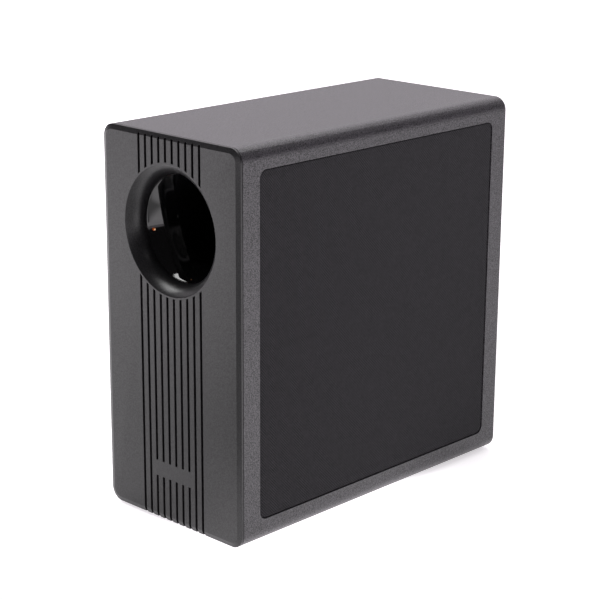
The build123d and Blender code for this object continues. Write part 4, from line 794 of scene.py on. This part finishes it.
def coneProfile(shape, frontX):
    # a straight cone with low rings, each rib * exp(-((reach - rib) / width)^2), turned back at
    # its thickness
    reach = np.linspace(shape["neck"], shape["lip"], 90)
    share = (reach - shape["neck"]) / (shape["lip"] - shape["neck"])
    front = frontX - shape["neckDepth"] * (1 - share)
    for rib in shape["ribs"]:
        front = front + shape["ribHeight"] * np.exp(-(((reach - rib) / shape["ribWidth"]) ** 2))
    backX = frontX - shape["rim"]
    outer = np.array([[frontX, shape["edge"]], [backX, shape["edge"]]])
    frontLine = np.column_stack([front, reach])
    backLine = np.column_stack([frontX - shape["neckDepth"] * (1 - share) - shape["wall"], reach])[::-3]
    return np.vstack([frontLine, outer, [[backX, shape["lip"] + 0.8]], backLine[1:]])


def capProfile(shape, topX):
    # a shallow dome: x falls from the top by height * (radius share squared), and the same line back at the
    # wall's thickness
    reach = np.linspace(0, shape["radius"], 24)
    outside = np.column_stack([topX - shape["height"] * (reach / shape["radius"]) ** 2, reach])
    inside = outside[::-1] - [shape["wall"], 0]
    inside[:, 1] *= (shape["radius"] - shape["wall"] / 2) / shape["radius"]
    return np.vstack([outside, inside])


coneGrid = turned(coneProfile(coneShape, coneHigh[0]), "x", driverCentre, 120)
fit(makePiece("paperCone", [(coneGrid, True, True)], 45), "cone_assembly",
    materials["cone_paper"], ["cone"])
capGrid = turned(capProfile(capShape, capHigh[0]), "x", driverCentre, 96)
fit(makePiece("dustCap", [(capGrid, False, True)], 45), "cone_assembly",
    materials["cone_paper"], ["dust_cap"])
print("cone made")


# flexible leads: braided copper from the terminal strip to the cone
leadShape = {"radius": 0.55, "braid": 0.08, "lay": 2.6, "spacing": 6.0, "strands": 5, "slack": 1.15}
stripLow = place("terminal_strip")[0]
leadsLow, leadsHigh = place("tinsel_leads")


def leadGrid(shape, z):
    # the radius swells and falls round the lead and along it, which reads as plaited strands
    t = np.linspace(0, 1, 60)[:, None]
    start = np.array([stripLow[0] + 7.0, stripLow[1] - 0.1, z])
    finish = np.array([leadsHigh[0] - shape["radius"], leadsLow[1] + 0.6, z])
    control = [start, start + [-1, -6, 0], finish + [-6, 2, 0], finish]
    path = (control[0] * (1 - t) ** 3 + 3 * control[1] * t * (1 - t) ** 2
            + 3 * control[2] * t ** 2 * (1 - t) + control[3] * t ** 3)
    length = np.linalg.norm(finish - start) * shape["slack"]
    turn = np.linspace(0, 2 * math.pi, 15, endpoint=False)[None]
    twist = 2 * math.pi * length / shape["lay"] * t
    radius = shape["radius"] + shape["braid"] * np.cos(shape["strands"] * turn + twist) * np.cos(
        shape["strands"] * turn - twist)
    return tubeAlong(path, radius, 15)


for side, label in ((-1, "Low"), (1, "High")):
    lead = makePiece("tinselLead" + label,
                     [(leadGrid(leadShape, driverCentre[2] + side * leadShape["spacing"]), False, True)], 60)
    lead.data.materials.append(materials["copper_wire"])
    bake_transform(lead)
    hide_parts("tinsel_leads")
print("leads made")


# wadding: a crowned polyester mat against the left wall
waddingShape = {"corner": 12.0, "pull": 4.0, "lump": 1.1, "rings": 34, "seed": 7}
waddingLow, waddingHigh = place("damping_wadding")


def waddingGrid(shape):
    # rings of a rounded rectangle whose sides pull in between the corners; the crown's height is
    # depth * square root of (1 - share to the power 8), with slow lumps made of a few sine waves
    size = (waddingHigh - waddingLow)[1:]
    middle = (waddingLow + waddingHigh) / 2
    outline = roundedOutline(size[0], size[1], shape["corner"], 7, 24)
    pull = shape["pull"] * (1 - np.abs(outline / (size / 2)).min(axis=1) ** 2)
    outline = outline * (1 - pull[:, None] / size.max() * 2)
    share = np.sin(np.linspace(0, math.pi / 2, shape["rings"]))
    flat = share[:, None, None] * outline[None]
    depth = (waddingHigh - waddingLow)[0] - 2 * shape["lump"]
    crown = depth * (1 - share ** 8) ** 0.5
    random = np.random.default_rng(shape["seed"])
    lumps = np.zeros(flat.shape[:2])
    for wave in random.uniform(0.03, 0.14, (9, 2)):
        along = np.sin(flat[..., 0] * wave[0] + random.uniform(0, 6))
        lumps += along * np.sin(flat[..., 1] * wave[1] + random.uniform(0, 6))
    lumps *= shape["lump"] / np.abs(lumps).max() * (crown / depth)[:, None]
    x = waddingLow[0] + 0.02 + crown[:, None] + lumps + shape["lump"] * (crown / depth)[:, None]
    top = np.stack([x, flat[..., 0] + middle[1], flat[..., 1] + middle[2]], axis=-1)
    back = top[::-1].copy()
    back[..., 0] = waddingLow[0] + 0.02
    return np.vstack([top, back[1:]])


wadding = makePiece("wadding", [(waddingGrid(waddingShape), False, True)], 80)
fit(wadding, "cabinet", materials["wadding"], ["damping_wadding"])
print("wadding made")


# control knobs: fluted sides, a rounded edge, a dished face and a spindle
knobShape = {"flutes": 24, "fluteDepth": 0.45, "edge": 0.9, "dish": 0.35, "spindle": 3.0,
             "depth": 8.6, "backEdge": 0.4, "steps": 192}


def knobSurfaces(shape, low, high):
    # the side's radius dips once per flute; the depth of the flutes fades over the rounded edge
    centre = (low + high) / 2
    radius = (high - low)[0] / 2
    backY, faceY = high[1] - shape["depth"], high[1]
    turn = np.linspace(0, 2 * math.pi, shape["steps"], endpoint=False)[None]
    flute = shape["fluteDepth"] * (0.5 + 0.5 * np.cos(shape["flutes"] * turn)) ** 2
    arc = np.linspace(0, math.pi / 2, 7)[:, None]
    edgeRadius = radius - shape["edge"] * (1 - np.cos(arc))
    edgeY = faceY - shape["edge"] * (1 - np.sin(arc))
    faceRadius = np.linspace(radius - shape["edge"], 0, 10)[1:, None]
    faceLevel = faceY - shape["dish"] * (1 - (faceRadius / (radius - shape["edge"])) ** 2)
    backRadius = np.array([[0.0], [radius - shape["backEdge"]], [radius], [radius]])
    backLevel = np.array([[backY], [backY], [backY + shape["backEdge"]], [faceY - 2.0]])
    rows = np.vstack([backRadius, edgeRadius, faceRadius])
    level = np.vstack([backLevel, edgeY, faceLevel])
    fade = np.clip((rows - (radius - shape["edge"])) / shape["edge"], 0, 1)
    reach = rows - flute * fade
    grid = np.stack([centre[0] + reach * np.cos(turn), np.broadcast_to(level, reach.shape),
                     centre[2] + reach * np.sin(turn)], axis=-1)
    spindle = np.array([[low[1], 0.0], [low[1], shape["spindle"] - 0.3], [low[1] + 0.3, shape["spindle"]],
                        [backY + 0.5, shape["spindle"]], [backY + 0.5, 0.0]])
    return [(grid, False, True), (turned(spindle, "y", centre, 32), False, True)]


for control in ("level", "crossover"):
    knobLow, knobHigh = place(control + "_knob")
    knob = makePiece(control + "Knob", knobSurfaces(knobShape, knobLow, knobHigh), 40)
    fit(knob, control + "_control", materials["control_plastic"], [control + "_knob"])
print("knobs made")


# floor: a flat mesh of a few large faces
floorSize = {"reach": 9.0, "steps": 3}
line = np.linspace(-floorSize["reach"], floorSize["reach"], floorSize["steps"])
acrossFloor, alongFloor = np.meshgrid(line, line)
floorGrid = np.stack([acrossFloor, alongFloor, np.zeros_like(acrossFloor)], axis=-1)
index = np.arange(floorSize["steps"] ** 2).reshape(floorSize["steps"], -1)
floorQuads = np.stack([index[:-1, :-1], index[:-1, 1:], index[1:, 1:], index[1:, :-1]], axis=-1)
floorMesh = bpy.data.meshes.new("floor")
floorMesh.from_pydata(floorGrid.reshape(-1, 3).tolist(), [], floorQuads.reshape(-1, 4).tolist())
floor = linkPiece("floor", floorMesh)

# Pale matt laminate, lit from below: its glow differs from left to right and from near to far,
# falls towards the rear, and stops ahead of the front, which gives the front a dark reflection.
# Distances in metres, azimuths in degrees; edges are cosines about the azimuth.
table = {"colour": "#f2f2f2", "glow": "#fffbff", "roughness": 0.7, "shine": 0.1,
         "nearLeft": 0.74, "nearRight": 1.35, "farLeft": 2.0, "farRight": 1.9, "sideEdge": 0.25,
         "nearReach": 0.45, "farReach": 1.5, "leftAzimuth": -90.0,
         "rear": 0.45, "rearAzimuth": 180.0, "rearStart": 0.34, "rearEnd": 0.87,
         "darkAzimuth": 11.0, "darkHalf": 37.0, "darkEdge": 8.0, "fadeStart": 0.33, "fadeEnd": 0.48,
         "darkEnd": 1.8, "darkGone": 2.88}
floorMaterial, floorTree, floorShader, floorCoords = startMaterial(
    "pale laminate floor", {"Base Color": hexColour(table["colour"]), "Roughness": table["roughness"],
                            "Specular IOR Level": table["shine"], "Emission Color": hexColour(table["glow"])})
heading = addNode(floorTree, "ShaderNodeVectorMath", {"operation": "NORMALIZE"}, {0: floorCoords})
length = addNode(floorTree, "ShaderNodeVectorMath", {"operation": "LENGTH"}, {0: floorCoords})
measures = {"distance": length.outputs["Value"]}
for name in ("left", "rear", "dark"):
    turn = math.radians(table[name + "Azimuth"])
    towards = addNode(floorTree, "ShaderNodeVectorMath",
                      {"operation": "DOT_PRODUCT", 1: (math.sin(turn), -math.cos(turn), 0.0)},
                      {0: heading.outputs[0]})
    measures[name] = towards.outputs["Value"]
darkEdges = [math.cos(math.radians(table["darkHalf"] + side * table["darkEdge"])) for side in (1, -1)]
# each fade: what it follows, where it starts and ends, and its values there
fades = {
    "near": ("left", -table["sideEdge"], table["sideEdge"], table["nearRight"], table["nearLeft"]),
    "far": ("left", -table["sideEdge"], table["sideEdge"], table["farRight"], table["farLeft"]),
    "rear": ("rear", table["rearStart"], table["rearEnd"], 1.0, table["rear"]),
    "rise": ("distance", table["nearReach"], table["farReach"], 0.0, 1.0),
    "darkSector": ("dark", *darkEdges, 0.0, 1.0),
    "darkNear": ("distance", table["fadeStart"], table["fadeEnd"], 0.0, 1.0),
    "darkFar": ("distance", table["darkEnd"], table["darkGone"], 1.0, 0.0),
}
fade = {
    name: addNode(floorTree, "ShaderNodeMapRange",
                  {"interpolation_type": "SMOOTHSTEP", "From Min": start, "From Max": end,
                   "To Min": first, "To Max": last}, {"Value": measures[measure]}).outputs[0]
    for name, (measure, start, end, first, last) in fades.items()
}
glow = addNode(floorTree, "ShaderNodeMix",
               links={0: fade["rise"], 2: fade["near"], 3: fade["far"]}).outputs[0]
darkReach = addNode(floorTree, "ShaderNodeMath", {"operation": "MULTIPLY"},
                    {0: fade["darkNear"], 1: fade["darkFar"]}).outputs[0]
dark = addNode(floorTree, "ShaderNodeMath", {"operation": "MULTIPLY"},
               {0: fade["darkSector"], 1: darkReach}).outputs[0]
lit = addNode(floorTree, "ShaderNodeMath", {"operation": "SUBTRACT", 0: 1.0}, {1: dark}).outputs[0]
for share in (fade["rear"], lit):
    glow = addNode(floorTree, "ShaderNodeMath", {"operation": "MULTIPLY"}, {0: glow, 1: share}).outputs[0]
joinShader(floorTree, floorShader, {"Emission Strength": glow})
floor.data.materials.append(floorMaterial)
print("floor made")

# place of each soft light: azimuth and elevation in degrees about the body, distance, width and
# height in metres, and the brightness of its face
softboxes = {
    "topBox": {"azimuth": 190, "elevation": 74, "distance": 1.9, "width": 1.2, "height": 1.2,
               "brightness": 3.0},
    "sideBox": {"azimuth": 80, "elevation": 56, "distance": 1.6, "width": 0.4, "height": 0.6,
                "brightness": 9.0},
    "leftBox": {"azimuth": -60, "elevation": 50, "distance": 1.6, "width": 0.8, "height": 0.7,
                "brightness": 8.0},
}
bodyCentre = Vector((0, 0, 0.2115))  # halfway up the body, without its feet


def direction(azimuth, elevation):
    # azimuth 0 is the front, -Y, and it grows towards +X
    turn, rise = math.radians(azimuth), math.radians(elevation)
    return Vector((math.sin(turn) * math.cos(rise), -math.cos(turn) * math.cos(rise), math.sin(rise)))


for name, box in softboxes.items():
    light = bpy.data.lights.new(name, "AREA")
    light.shape = "RECTANGLE"
    light.size, light.size_y = box["width"], box["height"]
    light.energy = box["brightness"] * math.pi * box["width"] * box["height"]
    lamp = bpy.data.objects.new(name, light)
    out = direction(box["azimuth"], box["elevation"])
    lamp.location = bodyCentre + out * box["distance"]
    lamp.rotation_euler = out.to_track_quat("Z", "Y").to_euler()
    lamp.visible_camera = False
    bpy.context.scene.collection.objects.link(lamp)

# room light: a bright wall behind on the left, a dark room elsewhere, and a pale band just above
# the floor's far edge that hides the horizon. Heights are sines of the elevation.
room = {"colour": "#fff8ff", "low": 0.05, "high": 1.45, "dark": 0.05, "azimuth": 225.0,
        "edgeStart": 0.30, "edgeEnd": 0.60, "riseStart": 0.12, "riseEnd": 0.25,
        "band": 1.05, "bandStart": 0.03, "bandEnd": 0.07}
world = bpy.data.worlds.new("studio")
bpy.context.scene.world = world
world.use_nodes = True
worldTree = world.node_tree
worldTree.nodes.clear()
skyCoords = addNode(worldTree, "ShaderNodeTexCoord").outputs["Generated"]
facing = addNode(worldTree, "ShaderNodeVectorMath",
                 {"operation": "DOT_PRODUCT", 1: tuple(direction(room["azimuth"], 0))}, {0: skyCoords})
wall = addNode(worldTree, "ShaderNodeMapRange",
               {"interpolation_type": "SMOOTHSTEP", "From Min": room["edgeStart"],
                "From Max": room["edgeEnd"], "To Min": 0.0, "To Max": 1.0},
               {"Value": facing.outputs["Value"]})
skyParts = addNode(worldTree, "ShaderNodeSeparateXYZ", links={0: skyCoords})
wallRise = addNode(worldTree, "ShaderNodeMapRange",
                   {"From Min": room["riseStart"], "From Max": room["riseEnd"],
                    "To Min": room["low"], "To Max": room["high"]},
                   {"Value": skyParts.outputs[2]})
level = addNode(worldTree, "ShaderNodeMath", {"operation": "MULTIPLY_ADD", 2: room["dark"]},
                {0: wall.outputs[0], 1: wallRise.outputs[0]})
horizon = addNode(worldTree, "ShaderNodeMapRange",
                  {"From Min": room["bandStart"], "From Max": room["bandEnd"],
                   "To Min": room["band"], "To Max": 0.0}, {"Value": skyParts.outputs[2]})
brightness = addNode(worldTree, "ShaderNodeMath", {"operation": "MAXIMUM"},
                     {0: level.outputs[0], 1: horizon.outputs[0]})
backdrop = addNode(worldTree, "ShaderNodeBackground", {"Color": hexColour(room["colour"])},
                   {"Strength": brightness.outputs[0]})
addNode(worldTree, "ShaderNodeOutputWorld", links={"Surface": backdrop.outputs[0]})

# camera: seen from the front right and above, in degrees, metres and, for the lens, mm
view = {"azimuth": 43.92, "elevation": 16.41, "roll": 0.32, "distance": 1.96725,
        "right": 0.01267, "up": 0.00506, "lens": 106.65}
back = direction(view["azimuth"], view["elevation"])
right = Vector((math.cos(math.radians(view["azimuth"])), math.sin(math.radians(view["azimuth"])), 0))
up = back.cross(right)
cosRoll, sinRoll = math.cos(math.radians(view["roll"])), math.sin(math.radians(view["roll"]))
right, up = right * cosRoll + up * sinRoll, up * cosRoll - right * sinRoll
cameraData = bpy.data.cameras.new("camera")
cameraData.lens = view["lens"]
cameraData.sensor_width = 36.0
camera = bpy.data.objects.new("camera", cameraData)
bpy.context.scene.collection.objects.link(camera)
turnMatrix = Matrix((right, up, back)).transposed().to_4x4()
spot = bodyCentre + back * view["distance"] - right * view["right"] - up * view["up"]
camera.matrix_world = Matrix.Translation(spot) @ turnMatrix
bpy.context.scene.camera = camera
bpy.context.scene.view_settings.view_transform = "Standard"
